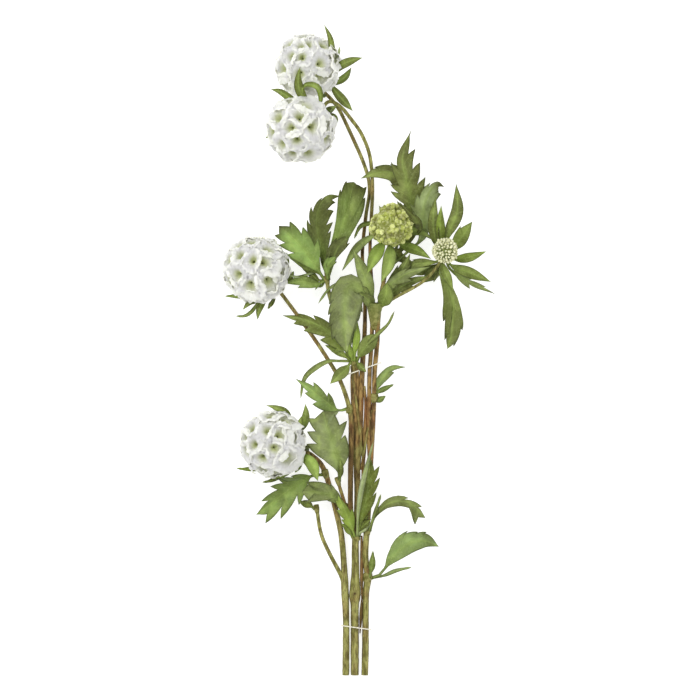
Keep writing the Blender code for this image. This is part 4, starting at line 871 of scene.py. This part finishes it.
def foliage(name, spec, stems, materials):
    """A whorl of leaves on its stem."""
    x, y, z, stem_radius = spec["collar"]
    centre = place(x, y, z)
    direction = nearest_direction(stems[spec["stem"]], centre)
    shape = Shape(*LEAF_VALUES)
    if spec["funnel"]:
        low, high = [place(*end) for end in spec["funnel"]]
        line = high - low
        sheath(shape, 0.5 * (low + high), line.normalized(), FUNNEL_RADIUS, line.length, FUNNEL_FLARE, 0.9)
    else:
        sheath(shape, centre, direction, stem_radius * MM, COLLAR_LENGTH, 0.0, 0.2)
    for i, row in enumerate(spec["blades"]):
        gap = (stem_radius + 0.4) * MM
        table_leaf(shape, centre, direction, row, (gap,), 3.1 * i + len(name))
    shape.piece("foliage_" + name.split("_", 1)[1], name, spec["slot"], materials)


# Heads

def cup_room(n, outs, neighbours, radius):
    """How far a cup may reach in each direction before it meets its neighbours."""
    room = []
    for out in outs:
        bound = 0.55
        for m in neighbours:
            facing = out.dot(m)
            if facing > 0.05:
                bound = min(bound, math.atan2(1.0 - n.dot(m), facing))
        room.append(radius * math.tan(bound))
    return room


def cup_reach(full, skirt, room, asides, phase):
    """Reach of a cup's ragged rim at each turn, longer on the side of its skirt."""
    reach = []
    for j, (limit, aside) in enumerate(zip(room, asides)):
        turn = TURN * j / CUP_SEGMENTS
        wobble = 1.0 + 0.06 * math.sin(5.0 * turn + phase[0]) + 0.07 * math.sin(3.0 * turn + phase[1])
        wobble += 0.55 * skirt * aside ** 1.5
        share = 1.4 + 0.15 * math.sin(2.0 * turn + phase[2]) + 0.8 * skirt * aside
        reach.append(max(min(full * wobble, limit * share), min(limit * 1.04, full * 1.5)))
    for _ in range(3):
        reach = [0.25 * reach[j - 1] + 0.5 * reach[j] + 0.25 * reach[(j + 1) % CUP_SEGMENTS]
                 for j in range(CUP_SEGMENTS)]
    return [value * (1.0 + 0.034 * math.sin(16.0 * TURN * j / CUP_SEGMENTS + phase[4])
                     + 0.032 * math.sin(23.0 * TURN * j / CUP_SEGMENTS + phase[0]))
            for j, value in enumerate(reach)]


def papery_cup(shape, centre, axis, cup, neighbours, radius, draw):
    """A shallow funnel that opens into a broad ruffled skirt, laid over or under its neighbours."""
    n, full, rank, skirt = cup
    across, over = side_frame(n)
    phase = [draw.uniform(0.0, TURN) for _ in range(5)]
    waves = draw.randrange(4, 7)
    seed = draw.uniform(0.0, 90.0)
    tilt = across * draw.uniform(-0.1, 0.1) + over * draw.uniform(-0.1, 0.1)
    outward = n * n.dot(axis) - axis
    outward = outward.normalized() if outward.length > 0.05 else across
    turns = [TURN * j / CUP_SEGMENTS for j in range(CUP_SEGMENTS)]
    outs = [swing(across, over, turn) for turn in turns]
    room = cup_room(n, outs, neighbours, radius)
    reach = cup_reach(full, skirt, room, [max(0.0, out.dot(outward)) for out in outs], phase)
    rows = []
    for i in range(CUP_RINGS):
        u = i / (CUP_RINGS - 1)
        q = max(0.0, (u - THROAT_SHARE) / (1.0 - THROAT_SHARE))
        throat = (0.7 + 5.0 * min(u, THROAT_SHARE)) * MM
        row = []
        for turn, out, limit, rim in zip(turns, outs, room, reach):
            r = throat + (rim - throat) * q ** 1.1
            ball = math.sqrt(radius * radius - 0.8 * r * r)
            h = -6.2 * MM * (1.0 - q) ** 2.3 - 1.6 * MM * max(0.0, 1.0 - u / THROAT_SHARE)
            h += rank * (0.35 + 0.65 * q) + 0.5 * MM * math.sin(math.pi * q)
            h += q ** 2.2 * (0.9 * math.sin(waves * turn + phase[3])
                             + 0.55 * math.sin((waves + 5) * turn + phase[1])
                             + 0.3 * math.sin((waves + 11) * turn + phase[4])) * MM
            h += max(0.0, r - limit) * 0.14
            spot = centre + n * (ball + h) + out * r
            spot += n * (out.dot(tilt) * r + q * 0.9 * MM * rough(spot, 230.0, seed))
            spot.z = max(spot.z, 0.2 * MM)
            row.append((spot, {"u": u, "c": math.cos(turn), "s": math.sin(turn)}))
        rows.append(row)
    sheet(shape, rows, PETAL_THICKNESS, closed=True)


def white_head(key, head, materials):
    """Small cups at the crown and broader ones with skirts outwards, on a core."""
    centre, axis = head_frame(head)
    radius = head["radius"] * MM
    draw = random.Random("fine head " + key)
    shape = Shape("u", "c", "s", "core", "under")
    across, over = side_frame(axis)
    cups = []
    for polar, count, full in CUP_ROWS:
        start = draw.uniform(0.0, TURN)
        skirt = min(1.0, max(0.0, (polar - 30.0) / 40.0))
        for i in range(count):
            turn = start + TURN * (i + draw.uniform(-0.26, 0.26)) / count
            lean = math.radians(polar + draw.uniform(-9.0, 9.0))
            n = axis * math.cos(lean) + swing(across, over, turn) * math.sin(lean)
            rank = (draw.uniform(-0.9, 0.9) + 0.9 - polar / 90.0) * MM
            cups.append((n, full * draw.uniform(0.85, 1.15) * MM, rank, skirt))
    for i, cup in enumerate(cups):
        near = [other[0] for j, other in enumerate(cups) if j != i and cup[0].dot(other[0]) > 0.5]
        papery_cup(shape, centre, axis, cup, near, radius, draw)
    core = radius * INNER_CORE
    blob(shape, centre, axis, (core, core), 32, 20, {"core": 1.0}, bumpy=0.04)
    shape.piece("blooms_" + key, "head_" + key, "cup", materials)


def disc_middle(head):
    """Middle of the disc behind a head, on its axis."""
    centre, axis = head_frame(head)
    return centre - axis * (head["radius"] * MM * CORE_SHARE + CLEARANCE + 0.5 * DISC_THICKNESS)


def disc(shape, middle, axis, tone):
    """The rounded disc that the bracts grow from."""
    def reach_at(along, out, turn):
        return DISC_RADIUS * out * (1.0 + 0.04 * math.cos(8.0 * turn))

    def values_at(along, j):
        return {"across": 2.0, "edge": 0.4, "lobe": 0.5, "along": 0.2, "tone": tone}

    shape.cap(turned(shape, middle, axis, DISC_THICKNESS, DISC_PROFILE, reach_at, values_at))


def bract_line(centre, axis, radius, tip):
    """A route from the disc round the back of a head and out to the tip."""
    out = tip - centre
    polar_tip = out.angle(axis)
    around = (out - axis * out.dot(axis)).normalized()
    polar_start = math.radians(FIRST_POLAR)
    start = radius * CORE_SHARE + CLEARANCE + 0.5 * DISC_THICKNESS
    clear = min(out.length, radius + BRACT_LIFT)
    line = []
    for i in range(17):
        t = i / 16
        polar = polar_start + (polar_tip - polar_start) * t
        reach = start + (clear - start) * min(1.0, 4.0 * t) + (out.length - clear) * t ** 3
        point = centre + (axis * math.cos(polar) + around * math.sin(polar)) * reach
        point.z = max(point.z, BRACT_FLOOR)
        line.append(point)
    return line


def own_bract(shape, middle, route, width, tone, grey, seed):
    """A bract from the disc along a route of its own."""
    line = smooth([middle] + [place(*point) for point in route], CURVE_STEPS)
    leaf(shape, line, width, peak=0.55, stalk=0.3, fold=10.0, tone=tone, grey=grey, wave=0.5, seed=seed,
         **BRACT_FORM)


def ring_tips(head, draw):
    """Tips of the bracts: the ones that show, and others spread between them."""
    centre, axis = head_frame(head)
    radius = head["radius"] * MM
    across, over = side_frame(axis)
    tips = [(place(x, y, z), width) for x, y, z, width in head["tips"]]
    for i in range(RING_BRACTS):
        around = swing(across, over, TURN * (i + 0.3 * draw.random()) / RING_BRACTS)
        outs = [tip - centre for tip, _ in tips]
        if any(around.angle(out - axis * out.dot(axis)) < TIP_SPREAD for out in outs):
            continue
        polar = math.radians(draw.uniform(*RING_POLAR))
        reach = radius + draw.uniform(*RING_OVERHANG) * MM
        if around.z < -0.4:
            polar, reach = math.radians(FOLDED_UNDER_POLAR), radius - FOLDED_UNDER_DEPTH * MM
        tips.append((centre + (axis * math.cos(polar) + around * math.sin(polar)) * reach, RING_WIDTH))
    return tips


def bract_ring(key, head, materials):
    """The ring of narrow bracts behind a white head, on its disc."""
    centre, axis = head_frame(head)
    middle = disc_middle(head)
    shape = Shape(*LEAF_VALUES)
    disc(shape, middle, axis, 0.4)
    for i, (tip, width) in enumerate(ring_tips(head, random.Random("bracts " + key))):
        tone = 0.05 + 0.12 * (i % 3)
        if i in head["routes"]:
            own_bract(shape, middle, head["routes"][i], width, tone, 0.15, 5.0 * i)
            continue
        line = bract_line(centre, axis, head["radius"] * MM, tip)
        level = (tip - centre).cross(axis).normalized()
        leaf(shape, line, width, peak=0.45, stalk=0.2, fold=-6.0, level=level, tone=tone, wave=0.4,
             seed=5.0 * i, **BRACT_FORM)
    for i, (route, width, tone, grey) in enumerate(head["loose"]):
        own_bract(shape, middle, route, width, tone, grey, 50.0 + i)
    shape.piece("bract_ring_" + key, "bracts_" + key, "bract", materials)


def green_head(materials):
    """The half-open head: clusters of small blunt petals round pale centres."""
    centre, axis = head_frame(GREEN_HEAD)
    radius = GREEN_HEAD["radius"] * MM
    draw = random.Random("fine green head")
    shape = Shape("u", "tone")
    core = radius * FLORET_CORE
    blob(shape, centre, axis, (core, core), 24, 16, {"u": 0.1, "tone": 0.3}, bumpy=0.05)
    for direction in ball_directions(FLORET_CLUSTERS, math.radians(FLORET_REACH), axis):
        n = nudged(direction, *side_frame(direction), 0.2, draw)
        across, over = side_frame(n)
        height = radius * draw.uniform(0.8, 1.0)
        tone = draw.uniform(0.0, 1.0)
        phase = draw.uniform(0.0, TURN)
        spread = draw.uniform(*CLUSTER_SPREAD) * MM
        for ring, count in ((0.0, 1), (1.0, 5)):
            for i in range(count):
                out = swing(across, over, phase + TURN * (i + draw.uniform(-0.25, 0.25)) / count)
                lean = (n + out * (ring * draw.uniform(0.4, 1.1))).normalized()
                base = centre + n * (height - (1.6 + 1.2 * ring) * MM) + out * (spread * ring)
                size = draw.uniform(*FLORET_SIZE) * MM
                blob(shape, base + lean * draw.uniform(0.0, 1.2) * MM, lean, (size, size * 1.15), 14, 10,
                     {"u": 0.42 + draw.uniform(-0.4, 0.5), "tone": tone}, draw.uniform(0.0, 50.0), 0.4)
    shape.piece("florets_green", "head_green", "floret", materials)


def green_bracts(materials):
    """The broad bracts round the green head, on its disc."""
    axis = head_frame(GREEN_HEAD)[1]
    middle = disc_middle(GREEN_HEAD)
    shape = Shape(*LEAF_VALUES)
    disc(shape, middle, axis, 0.5)
    for i, row in enumerate(GREEN_BRACTS):
        table_leaf(shape, middle, axis, row, (0.6 * DISC_RADIUS, 1.5 * DISC_RADIUS), 4.0 * i)
    shape.piece("bract_ring_green", "bracts_green", "bract", materials)


def bud(materials):
    """The tight bud: blunt cream scales on a green ball."""
    centre, axis = head_frame(BUD)
    radius = BUD["radius"] * MM
    draw = random.Random("fine bud")
    shape = Shape("u", "tone")
    core = radius * BUD_CORE
    blob(shape, centre, axis, (core, core), 24, 16, {"u": 0.0, "tone": 0.0}, bumpy=0.04)
    for direction in ball_directions(BUD_SCALES, math.radians(BUD_REACH), axis):
        across, over = side_frame(direction)
        n = nudged(direction, across, over, 0.06, draw)
        lean = nudged(n, across, over, 0.3, draw)
        size = draw.uniform(*SCALE_SIZE) * MM
        blob(shape, centre + n * (radius * draw.uniform(0.84, 0.96)), lean, (size, size * 1.7), 8, 6,
             {"u": draw.uniform(0.7, 1.0), "tone": draw.random()}, draw.uniform(0.0, 50.0), 0.18)
    shape.piece("bud_scales", "bud", "bud", materials)


# Stems and ties

def stem_route(points, head=None, with_disc=True):
    """Route of a stem as (place, radius, brownness), up to the seat of its head."""
    route = [(place(x, y, z), radius * MM, brown) for x, y, z, radius, brown in points]
    if head:
        centre, axis = head_frame(head)
        seat = head["radius"] * MM * CORE_SHARE + CLEARANCE
        if with_disc:
            seat += DISC_THICKNESS + CLEARANCE
        for back, radius in NECK:
            route.append((centre - axis * (seat + back), radius, 0.2))
    return route


def cut_end(shape, path, rim):
    """The cut face of a stem, hollowed a little in its middle."""
    centre, back = path.at(0.0), path.tangent(0.0)
    ring = rim
    for share, deep in ((0.9, 0.0), (0.62, 0.1), (0.3, 0.9), (0.12, 1.1)):
        inner = [shape.add(centre + (shape.points[index] - centre) * share + back * (deep * MM),
                           {"cut": 1.0 if share > 0.4 else 0.6}) for index in rim]
        shape.bridge([inner, ring])
        ring = inner
    shape.faces.append(tuple(reversed(ring)))


def stem_tube(shape, route, seed):
    """One stem or branch: ridged, rough and swollen by its route's radii."""
    path = Path(smooth([spot for spot, _, _ in route], STEM_STEPS))
    traits = smooth([Vector((radius, brown, 0.0)) for _, radius, brown in route], STEM_STEPS)

    def radius_at(share, turn):
        spot = path.at(share)
        ridge = 1.0 + 0.03 * math.cos(8.0 * turn + 2.0 * math.sin(4.0 * share))
        ridge += 0.05 * rough(spot + UP * (turn * 0.004), 160.0, seed)
        ridge += 0.045 * rough(spot + UP * (turn * 0.002), 620.0, seed)
        return path.at(share, traits)[0] * ridge

    def values_at(share, turn, point):
        dark = max(math.exp(-((point - place(*spot)).length / (size * MM)) ** 2) for spot, size in SCAR_AND_SHADE_SPOTS)
        return {"brown": path.at(share, traits)[1], "c": math.cos(turn), "s": math.sin(turn), "dark": dark}

    stations = max(24, int(path.length / STEM_STATION))
    rings = tube(shape, path, radius_at, STEM_SIDES, stations, values_at)
    shape.faces.append(tuple(rings[-1]))
    cut_end(shape, path, rings[0])


def stem(key, routes, materials):
    """A main stem with all its branches."""
    shape = Shape("brown", "cut", "dark", "c", "s")
    for number, route in enumerate(routes):
        stem_tube(shape, route, 11.0 * number + len(key))
    if key == "middle":
        blob(shape, place(*BUD_SCAR), UP, (0.9 * MM, 0.5 * MM), 12, 8, {"dark": 1.0, "brown": 1.6})
    shape.piece("stalk_" + key, "stem_" + key, "stem", materials)


def tie_loop(spec, middle):
    """Points of a rounded, slanted loop round the stems."""
    loop = []
    for i in range(LOOP_POINTS):
        turn = TURN * i / LOOP_POINTS
        c, s = math.cos(turn), math.sin(turn)
        across = math.copysign(abs(c) ** (2.0 / 3.0), c) * spec["half_width"] * MM
        up = math.copysign(abs(s) ** (2.0 / 3.0), s) * spec["half_height"] * MM
        loop.append(middle + Vector((across, across * spec["slant"], up)))
    return loop


def tie(name, spec, materials):
    """Two strands of thread twisted round each other in a closed loop."""
    middle = place(*spec["middle"])
    loop = tie_loop(spec, middle)
    shape = Shape("strand")
    for strand in range(2):
        rings = []
        for i in range(THREAD_POINTS):
            share = i / THREAD_POINTS * LOOP_POINTS
            mark = int(share)
            spot = loop[mark % LOOP_POINTS].lerp(loop[(mark + 1) % LOOP_POINTS], share - mark)
            tangent = (loop[(mark + 2) % LOOP_POINTS] - loop[mark - 1]).normalized()
            side = tangent.cross((spot - middle).normalized()).normalized()
            out = side.cross(tangent)
            twist = TURN * THREAD_TWISTS * i / THREAD_POINTS + math.pi * strand
            core = spot + swing(out, side, twist) * STRAND_OFFSET
            rings.append([shape.add(core + swing(out, side, TURN * j / THREAD_SIDES) * STRAND_RADIUS,
                                    {"strand": 0.2 + 0.6 * strand}) for j in range(THREAD_SIDES)])
        shape.bridge(rings + rings[:1])
    shape.piece("thread_" + name.split("_")[1], name, "thread", materials)


# Materials

def linear(red, green, blue):
    """An sRGB colour of 0 to 255 as linear values."""
    out = []
    for value in (red, green, blue):
        share = value / 255.0
        out.append(share / 12.92 if share <= 0.04045 else ((share + 0.055) / 1.055) ** 2.4)
    return (*out, 1.0)


class Graph:
    """A material's node tree with short calls for its nodes. Colours are sRGB, 0 to 255."""

    def __init__(self, name, roughness, specular=0.5):
        self.material = bpy.data.materials.new(name)
        self.material.use_nodes = True
        self.tree = self.material.node_tree
        self.shader = self.tree.nodes["Principled BSDF"]
        self.shader.inputs["Roughness"].default_value = roughness
        self.shader.inputs["Specular IOR Level"].default_value = specular
        self.place = self.tree.nodes.new("ShaderNodeTexCoord").outputs["Object"]

    def node(self, kind, *inputs):
        """A new node, with its first inputs fed."""
        made = self.tree.nodes.new(kind)
        for given, socket in zip(inputs, made.inputs):
            self.feed(given, socket)
        return made

    def feed(self, value, socket):
        if isinstance(value, bpy.types.NodeSocket):
            self.tree.links.new(value, socket)
        else:
            socket.default_value = linear(*value) if isinstance(value, tuple) else value

    def value(self, name):
        found = self.node("ShaderNodeAttribute")
        found.attribute_name = name
        return found.outputs["Fac"]

    def math(self, operation, *inputs):
        made = self.node("ShaderNodeMath", *inputs)
        made.operation = operation
        return made.outputs[0]

    def times(self, a, b):
        return self.math("MULTIPLY", a, b)

    def spread(self, a, low, high, to_low=0.0, to_high=1.0):
        """A value smoothly spread from low and high to new limits."""
        made = self.node("ShaderNodeMapRange", a, low, high, to_low, to_high)
        made.interpolation_type = "SMOOTHSTEP"
        return made.outputs[0]

    def noise(self, scale, detail=3.0, stretch=None, distortion=0.0):
        made = self.node("ShaderNodeTexNoise")
        made.inputs["Scale"].default_value = scale
        made.inputs["Detail"].default_value = detail
        made.inputs["Distortion"].default_value = distortion
        vector = self.place
        if stretch:
            mapped = self.node("ShaderNodeMapping", vector)
            mapped.inputs["Scale"].default_value = stretch
            vector = mapped.outputs[0]
        self.feed(vector, made.inputs["Vector"])
        return made.outputs["Fac"]

    def mix(self, share, a, b):
        made = self.node("ShaderNodeMix")
        made.data_type = "RGBA"
        for given, number in ((share, 0), (a, 6), (b, 7)):
            self.feed(given, made.inputs[number])
        return made.outputs[2]

    def tint(self, base, share, amount, colour):
        """The base under a colour, at the share times the amount."""
        return self.mix(self.times(share, amount), base, colour)

    def ramp(self, share, stops):
        made = self.node("ShaderNodeValToRGB", share)
        points = made.color_ramp.elements
        while len(points) < len(stops):
            points.new(0.5)
        for point, (position, colour) in zip(points, stops):
            point.position = position
            point.color = linear(*colour)
        return made.outputs[0]

    def bump(self, height, strength, distance, below=None):
        made = self.node("ShaderNodeBump")
        made.inputs["Strength"].default_value = strength
        made.inputs["Distance"].default_value = distance
        self.feed(height, made.inputs["Height"])
        if below:
            self.feed(below, made.inputs["Normal"])
        return made.outputs[0]

    def finish(self, colour, normal, roughness=None, subsurface=0.0):
        self.feed(colour, self.shader.inputs["Base Color"])
        self.feed(normal, self.shader.inputs["Normal"])
        if roughness:
            self.feed(roughness, self.shader.inputs["Roughness"])
        if subsurface:
            self.shader.inputs["Subsurface Weight"].default_value = subsurface
            self.shader.inputs["Subsurface Radius"].default_value = (1.0, 1.0, 0.9)
            self.shader.inputs["Subsurface Scale"].default_value = 0.0022
        return self.material


def line_share(g, value, width, strength):
    """High along the lines where a value is a whole number."""
    gap = g.math("ABSOLUTE", g.math("SUBTRACT", value, g.math("ROUND", value)))
    return g.spread(gap, 0.0, width, strength, 0.0)


def leaf_material(name, dark, light, dull, pale):
    """Leaf colours by tone and greyness, with midrib, side veins, mottling and a fine grain, and painted
    light as well: glow and shadow patches, painted shade on one half, towards the root and towards the
    edges, and a painted highlight along the middle.
    """
    g = Graph(name, 0.6, 0.22)
    tone, grey, edge, lobe = [g.value(key) for key in ("tone", "grey", "edge", "lobe")]
    base = g.mix(g.math("MINIMUM", grey, 1.0), g.mix(tone, dark, light), g.mix(tone, dull, pale))
    base = g.mix(g.math("SUBTRACT", grey, 1.0), base, (206, 214, 194))
    glow = g.spread(g.noise(56.0, distortion=0.6), 0.45, 0.72)
    base = g.tint(base, glow, 0.48, (170, 190, 100))
    # Painted shade: a deeper, darker green towards the root of each leaf
    base = g.mix(g.spread(g.value("along"), 0.05, 0.45, 0.3, 0.0), base, (112, 132, 34))
    # Painted shade: one half of each leaf darker than the other, as a fold would shade it
    base = g.mix(g.spread(g.value("side"), -0.4, 0.4, 0.0, 0.3), base, (60, 66, 16))
    # Painted highlight along the middle of each leaf, and painted shade towards its edges
    base = g.mix(g.spread(edge, 0.0, 0.45, 0.28, 0.0), base, (156, 184, 84))
    base = g.mix(g.spread(edge, 0.4, 1.0, 0.0, 0.28), base, (66, 72, 20))
    mottle = g.spread(g.noise(95.0, 4.0), 0.36, 0.7)
    base = g.tint(base, mottle, 0.4, (76, 88, 26))
    shadow = g.spread(g.noise(38.0, stretch=(1.3, 1.0, 1.0)), 0.46, 0.72)
    base = g.tint(base, shadow, 0.5, (52, 55, 12))
    speck = g.spread(g.noise(520.0), 0.5, 0.72)
    base = g.tint(base, speck, 0.16, (170, 184, 116))
    veins = g.math("MAXIMUM", line_share(g, lobe, 0.1, 1.0), line_share(g, g.times(lobe, 3.0), 0.2, 0.45))
    veins = g.times(veins, g.spread(edge, 0.55, 1.0, 1.0, 0.15))
    midrib_line = g.spread(g.value("across"), 0.15, 0.6, 1.0, 0.0)
    base = g.tint(base, veins, 0.14, (160, 174, 96))
    base = g.tint(base, midrib_line, 0.2, (160, 176, 98))
    base = g.tint(base, g.spread(edge, 0.84, 1.0), 0.6, (46, 50, 12))
    base = g.tint(base, g.value("under"), 0.35, (140, 156, 108))
    bark = g.mix(g.spread(g.noise(300.0), 0.35, 0.65), (96, 86, 34), (158, 150, 92))
    base = g.mix(g.value("woody"), base, bark)
    base = g.mix(g.value("deep"), base, (52, 50, 14))
    normal = g.bump(g.noise(1400.0, 2.0), 0.35, 0.00025, g.bump(mottle, 0.7, 0.0009))
    normal = g.bump(g.math("MAXIMUM", midrib_line, veins), 0.5, 0.00035, normal)
    return g.finish(base, normal, g.spread(g.noise(160.0, 2.0), 0.2, 0.8, 0.52, 0.74), 0.12)


def cup_material():
    """White papery cups: olive throats, cream funnels, ribs and a dark core between them."""
    g = Graph("petal_papery", 0.75, 0.2)
    u = g.value("u")
    shade = g.ramp(u, CUP_COLOURS)
    ribs = g.math("SINE", g.times(g.math("ARCTAN2", g.value("s"), g.value("c")), 26.0))
    shade = g.tint(shade, g.spread(g.noise(120.0), 0.35, 0.75), 0.34, (228, 231, 204))
    shade = g.tint(shade, g.spread(ribs, 0.2, 1.0), 0.07, (206, 212, 178))
    back = g.mix(g.spread(u, 0.2, 0.7), (186, 194, 136), (246, 246, 236))
    shade = g.tint(shade, g.value("under"), 0.8, back)
    shade = g.mix(g.value("core"), shade, g.mix(g.noise(300.0), (84, 98, 30), (150, 160, 84)))
    crinkle = g.bump(g.noise(420.0, 4.0, distortion=0.8), 0.5, 0.0004)
    normal = g.bump(g.times(ribs, g.spread(u, 0.25, 0.6)), 0.35, 0.0002, crinkle)
    return g.finish(shade, normal, subsurface=0.8)


def stem_material():
    """Ridged stems from green to brown, with long streaks, flecks and pale cut ends, painted shade down
    their sides and painted shade at a hollow between two stems.
    """
    g = Graph("stem_ridged", 0.62, 0.25)
    brown, c = g.value("brown"), g.value("c")
    streak = g.math("ADD", g.noise(70.0, 4.0, (6.0, 0.55, 6.0)), g.noise(230.0, 3.0, (1.5, 0.55, 1.5)))
    streak = g.times(streak, 0.5)
    green = g.mix(g.spread(streak, 0.36, 0.62), (96, 94, 32), (164, 163, 94))
    bark = g.mix(g.spread(streak, 0.38, 0.6), (66, 40, 12), (160, 128, 74))
    rust = g.spread(g.noise(34.0, 3.0, (2.0, 0.7, 2.0)), 0.48, 0.64, 0.0, 0.75)
    bark = g.mix(rust, bark, (138, 82, 48))
    patch = g.math("ADD", brown, g.spread(g.noise(60.0), 0.3, 0.7, -0.22, 0.28))
    base = g.mix(g.spread(patch, 0.1, 0.9), green, bark)
    # Very brown values turn dark brown, on real brown stems and on the two crevice strands that stand in
    # for shade
    base = g.mix(g.spread(brown, 1.1, 1.6, 0.0, 0.8), base, (74, 52, 16))
    ridges = g.math("SINE", g.times(g.math("ARCTAN2", g.value("s"), c), 16.0))
    base = g.mix(g.spread(ridges, 0.1, 1.0, 0.0, 0.18), base, (166, 162, 96))
    # Dark round the bud scar, and painted shade in the hollow between two stems
    base = g.tint(base, g.value("dark"), 0.85, (64, 46, 16))
    # Painted shade down the two level sides of each stem, where it turns away from the light above
    base = g.mix(g.spread(g.math("ABSOLUTE", c), 0.7, 1.0, 0.0, 0.55), base, (78, 58, 22))
    fibre = g.spread(g.noise(150.0, 3.0, (5.0, 0.35, 5.0)), 0.54, 0.66)
    base = g.tint(base, fibre, 0.55, (84, 62, 28))
    fleck = g.spread(g.noise(700.0, 3.0, (1.0, 0.4, 1.0)), 0.54, 0.68)
    base = g.tint(base, fleck, 0.6, (82, 64, 28))
    base = g.mix(g.value("cut"), base, g.mix(g.noise(800.0), (198, 196, 150), (160, 160, 104)))
    normal = g.bump(ridges, 0.5, 0.0003, g.bump(g.noise(500.0, 4.0, (1.0, 0.3, 1.0)), 0.8, 0.0009))
    return g.finish(base, normal, g.spread(streak, 0.2, 0.8, 0.5, 0.72), 0.05)


def floret_material():
    """Yellow-green florets, browner in patches and paler in fine specks."""
    g = Graph("floret_green", 0.7)
    base = g.tint(g.ramp(g.value("u"), FLORET_COLOURS), g.value("tone"), 0.4, (158, 172, 58))
    base = g.mix(g.spread(g.noise(130.0), 0.48, 0.66, 0.0, 0.75), base, (112, 112, 36))
    base = g.tint(base, g.spread(g.noise(420.0, 4.0), 0.4, 0.7), 0.4, (228, 228, 176))
    return g.finish(base, g.bump(g.noise(1100.0), 0.5, 0.0004), subsurface=0.2)


def bud_material():
    """Cream bud scales on green, with green flecks."""
    g = Graph("bud_cream", 0.72)
    base = g.tint(g.ramp(g.value("u"), BUD_COLOURS), g.value("tone"), 0.45, (242, 240, 212))
    base = g.mix(g.spread(g.noise(620.0), 0.52, 0.64, 0.0, 0.85), base, (138, 142, 66))
    return g.finish(base, g.bump(g.noise(1300.0), 0.5, 0.0004), subsurface=0.2)


def thread_material():
    """Cream cotton, one strand a little darker than the other."""
    g = Graph("thread_twisted", 0.85)
    base = g.mix(g.spread(g.noise(1600.0), 0.3, 0.7), (234, 230, 210), (248, 246, 234))
    base = g.tint(base, g.value("strand"), 0.3, (214, 206, 176))
    return g.finish(base, g.bump(g.noise(2600.0, 2.0), 0.6, 0.0002))


# Studio

def light(name, spot, size, power):
    """A square lamp that faces the bunch."""
    lamp = bpy.data.lights.new(name, "AREA")
    lamp.size = size
    lamp.energy = power
    made = bpy.data.objects.new(name, lamp)
    made.location = spot
    made.rotation_euler = (-Vector(spot)).to_track_quat("-Z", "Y").to_euler()
    bpy.context.scene.collection.objects.link(made)


def white_floor():
    """The white ground that the bunch lies on."""
    mesh = bpy.data.meshes.new("floor")
    size = FLOOR_HALF_WIDTH
    corners = [(-size, -size, 0.0), (size, -size, 0.0), (size, size, 0.0), (-size, size, 0.0)]
    mesh.from_pydata(corners, [], [(0, 1, 2, 3)])
    floor = bpy.data.objects.new("floor", mesh)
    bpy.context.scene.collection.objects.link(floor)
    g = Graph("floor_pale", 0.9, 0.0)
    g.shader.inputs["Base Color"].default_value = (0.6, 0.6, 0.6, 1.0)
    g.shader.inputs["Emission Color"].default_value = (1.0, 1.0, 1.0, 1.0)
    g.shader.inputs["Emission Strength"].default_value = FLOOR_GLOW
    mesh.materials.append(g.material)


def studio():
    """White surroundings, lamps and a camera far above, which looks straight down."""
    scene = bpy.context.scene
    world = bpy.data.worlds.new("studio")
    scene.world = world
    world.use_nodes = True
    background = world.node_tree.nodes["Background"]
    background.inputs["Color"].default_value = (1.0, 1.0, 1.0, 1.0)
    background.inputs["Strength"].default_value = WORLD_STRENGTH
    white_floor()
    for name, spot, size, power in LIGHTS:
        light(name, spot, size, power)
    lens = bpy.data.cameras.new("camera")
    lens.sensor_width = SENSOR_WIDTH
    lens.lens = FOCAL_LENGTH
    lens.clip_end = FAR_CLIP
    eye = bpy.data.objects.new("camera", lens)
    eye.location = place(*CAMERA_AIM) + UP * (PHOTO_WIDTH * GRID * FOCAL_LENGTH / SENSOR_WIDTH)
    scene.collection.objects.link(eye)
    scene.camera = eye
    scene.view_settings.view_transform = "Standard"


def main():
    studio()
    materials = {key: leaf_material(key + "_veined", *colours) for key, colours in LEAF_COLOURS.items()}
    materials.update(cup=cup_material(), stem=stem_material(), floret=floret_material(),
                     bud=bud_material(), thread=thread_material())
    stems = {
        "left": [stem_route(STEM_LEFT, WHITE_HEADS["lower"]), stem_route(BRANCH_THIN)],
        "middle": [stem_route(STEM_MIDDLE), stem_route(BRANCH_HEAD_LEFT, WHITE_HEADS["left"]),
                   stem_route(BRANCH_HEAD_TOP, WHITE_HEADS["top"]), stem_route(BRANCH_LEAF_NODE),
                   *[stem_route(strand) for strand in STRANDS]],
        "right": [stem_route(STEM_RIGHT, GREEN_HEAD), stem_route(BRANCH_HEAD_UPPER, WHITE_HEADS["upper"]),
                  stem_route(BRANCH_BUD, BUD, with_disc=False)],
    }
    for key, routes in stems.items():
        stem(key, routes, materials)
    lines = {key: [[spot for spot, _, _ in route] for route in routes] for key, routes in stems.items()}
    for key, head in WHITE_HEADS.items():
        white_head(key, head, materials)
        bract_ring(key, head, materials)
    green_head(materials)
    green_bracts(materials)
    bud(materials)
    for name, spec in FOLIAGE.items():
        foliage(name, spec, lines, materials)
    for name, spec in TIES.items():
        tie(name, spec, materials)


main()
